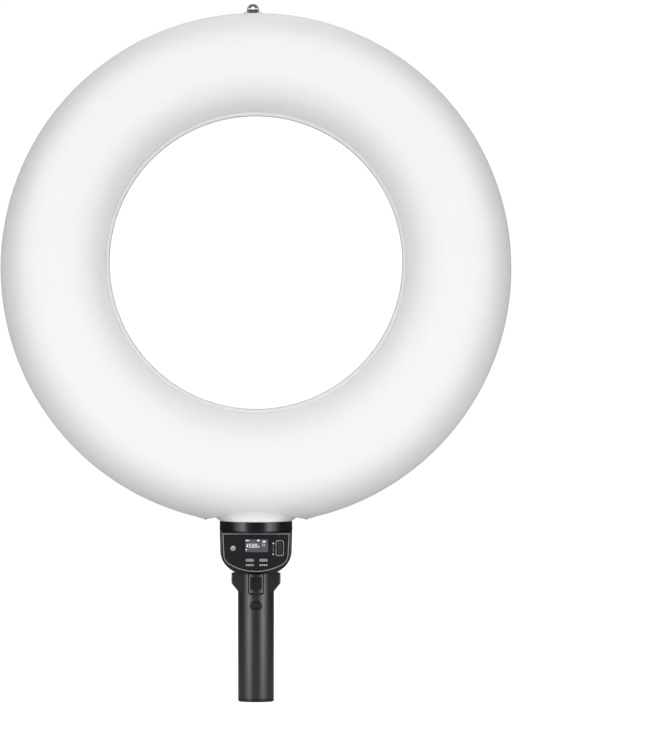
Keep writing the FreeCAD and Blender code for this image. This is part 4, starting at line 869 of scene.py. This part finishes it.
amber_ink = bmesh.new()
write_number(amber_ink, "25", right=16.1, down=6.5, tall=1.9, pen=0.40)
new_piece("display_figures_amber", amber_ink, glowing_ink("lit_figures_amber", "#F0C48A", glow=1.0), "head")
print("figures on the display")

# %% [markdown]
# ## Marks on the panel
# The panel carries a few printed marks: a scale beside the dial and a short row under each key. They are
# made here as generic signs, a row of ticks and rows of bars and dots, with no words. Printing has almost
# no thickness, so each mark is a sheet of two hundredths of a millimetre on the film, in a light grey
# ink.

# %% Print the marks
def printed_ink():
    """Screen-printing ink: matt, and a little uneven where the film's grain shows through."""
    material, tree = new_finish("screen_ink_light_grey")
    grain = speckle(tree, 0.4, 2.0)
    return close_finish(material, tree, {
        "Base Color": tinted(tree, grain, "#E6E7E9", "#D2D3D6"),
        "Roughness": between(tree, grain, 0.5, 0.65)})


film_y = panel_front - sheet_thick
dial_z = middle("wheel_bezel").z
scale_gap = 2.3 * MM            # from the bezel's edge to the middle of the scale
scale_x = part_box("wheel_bezel")[0].x - scale_gap
upper_sign = 4.3 * MM           # above the dial's middle
lower_sign = 5.6 * MM           # under it
first_tick = 2.0 * MM           # above it
tick_pitch = 1.1 * MM

marks = bmesh.new()
add_plate(marks, (1.7, 1.5, 0.7), scale_x, film_y, dial_z + upper_sign)
add_plate(marks, (1.6, 1.2, 0.5), scale_x, film_y, dial_z - lower_sign)
for step in range(6):
    add_plate(marks, (0.7, 0.22, 0.08), scale_x, film_y, dial_z + first_tick - step * tick_pitch)

row_drop = 4.5 * MM             # from the middle of a key down to its row of marks
for key, count, pitch, size_mm in (
        ("menu_button", 5, 1.55 * MM, (0.8, 1.6, 0.2)), ("mode_button", 4, 1.9 * MM, (1.4, 1.4, 0.65))):
    key_middle = middle(key)
    for step in range(count):
        x = key_middle.x + (step - (count - 1) / 2) * pitch
        add_plate(marks, size_mm, x, film_y, key_middle.z - row_drop)
new_piece("panel_marks", marks, printed_ink(), "head")
print("marks on the panel at y in mm", round(film_y / MM, 2))

# %% [markdown]
# ## The power key's light
# The power key is a small dished metal cap with a dark middle. Round the middle lies a lit ring, with a
# short bar from the middle up: the usual sign for a power switch. The dark middle and the ring are flat
# hoops, a small rectangle led round a circle. All of it rides on the key, so it goes in when the key is
# pressed.

# %% Make the power key's sign
def add_hoop(mesh, centre, inner, outer, y, thick, steps=40):
    """A flat hoop that faces the front: its front is at y, and its back thick behind."""
    rows = []
    for step in range(steps):
        angle = math.radians(360 * step / steps)
        row = []
        for radius, depth in ((inner, y), (outer, y), (outer, y + thick), (inner, y + thick)):
            row.append(mesh.verts.new((
                centre[0] + radius * math.cos(angle), depth, centre[1] + radius * math.sin(angle))))
        rows.append(row)
    for index in range(steps):
        here = rows[index]
        after = rows[(index + 1) % steps]
        for side in range(4):
            nearby = (side + 1) % 4
            mesh.faces.new((here[side], after[side], after[nearby], here[nearby]))


power_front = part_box("power_button")[0].y
power_middle = middle("power_button")
power_at = (power_middle.x, power_middle.z)

well = bmesh.new()
add_hoop(well, power_at, inner=0.02 * MM, outer=1.15 * MM, y=power_front + 0.20 * MM, thick=0.06 * MM)
new_piece("power_key_well", well,
          polished_abs("abs_black_key_well", "#17181A", "#121314", rough=0.25, wave_mm=2.0),
          "power_button")
sign = bmesh.new()
add_hoop(sign, power_at, inner=1.20 * MM, outer=2.25 * MM, y=power_front + 0.10 * MM, thick=0.12 * MM)
add_plate(sign, (0.6, 1.5, 0.25), power_at[0], power_front + 0.12 * MM, power_at[1] + 0.95 * MM,
          thick=0.06 * MM)
new_piece("power_key_light", sign, glowing_ink("lit_ring_white", "#F2F4F4", glow=1.3), "power_button")
print("power key at", [round(v / MM, 1) for v in power_at])

# %% [markdown]
# ## Contacts in the charging socket
# The socket's tongue carries a row of gold strips on each side. They are too thin to be worth a CAD
# solid, but someone who looks into the socket misses them. A strip is repeated by a loop, at the real
# spacing of 0.5 mm.

# %% Lay the contacts on the tongue
strips_in_row = 12
strip_pitch = 0.5 * MM
strip_half_width = 0.13 * MM
strip_half_thick = 0.01 * MM
strip_length = 2.4 * MM
tongue_thick = 0.7 * MM
socket_middle = middle("usb_socket")
strip_depth = 1.1 * MM          # from the socket's mouth to the strips
strip_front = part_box("usb_socket")[0].y + strip_depth
strip_back = strip_front + strip_length

strips = bmesh.new()
for column in range(strips_in_row):
    x = socket_middle.x + (column - (strips_in_row - 1) / 2) * strip_pitch
    left = x - strip_half_width
    right = x + strip_half_width
    bar = ((left, strip_front), (right, strip_front), (right, strip_back), (left, strip_back))
    for side in (-1, 1):
        z = socket_middle.z + side * (tongue_thick / 2 + strip_half_thick)
        under = [strips.verts.new((bx, by, z - strip_half_thick)) for bx, by in bar]
        over = [strips.verts.new((bx, by, z + strip_half_thick)) for bx, by in bar]
        strips.faces.new(over)
        strips.faces.new(list(reversed(under)))
        for index in range(4):
            after = (index + 1) % 4
            strips.faces.new((under[index], under[after], over[after], over[index]))
new_piece("socket_contacts", strips, finishes["gold_contact"], "handle")
print("contacts", 2 * strips_in_row)
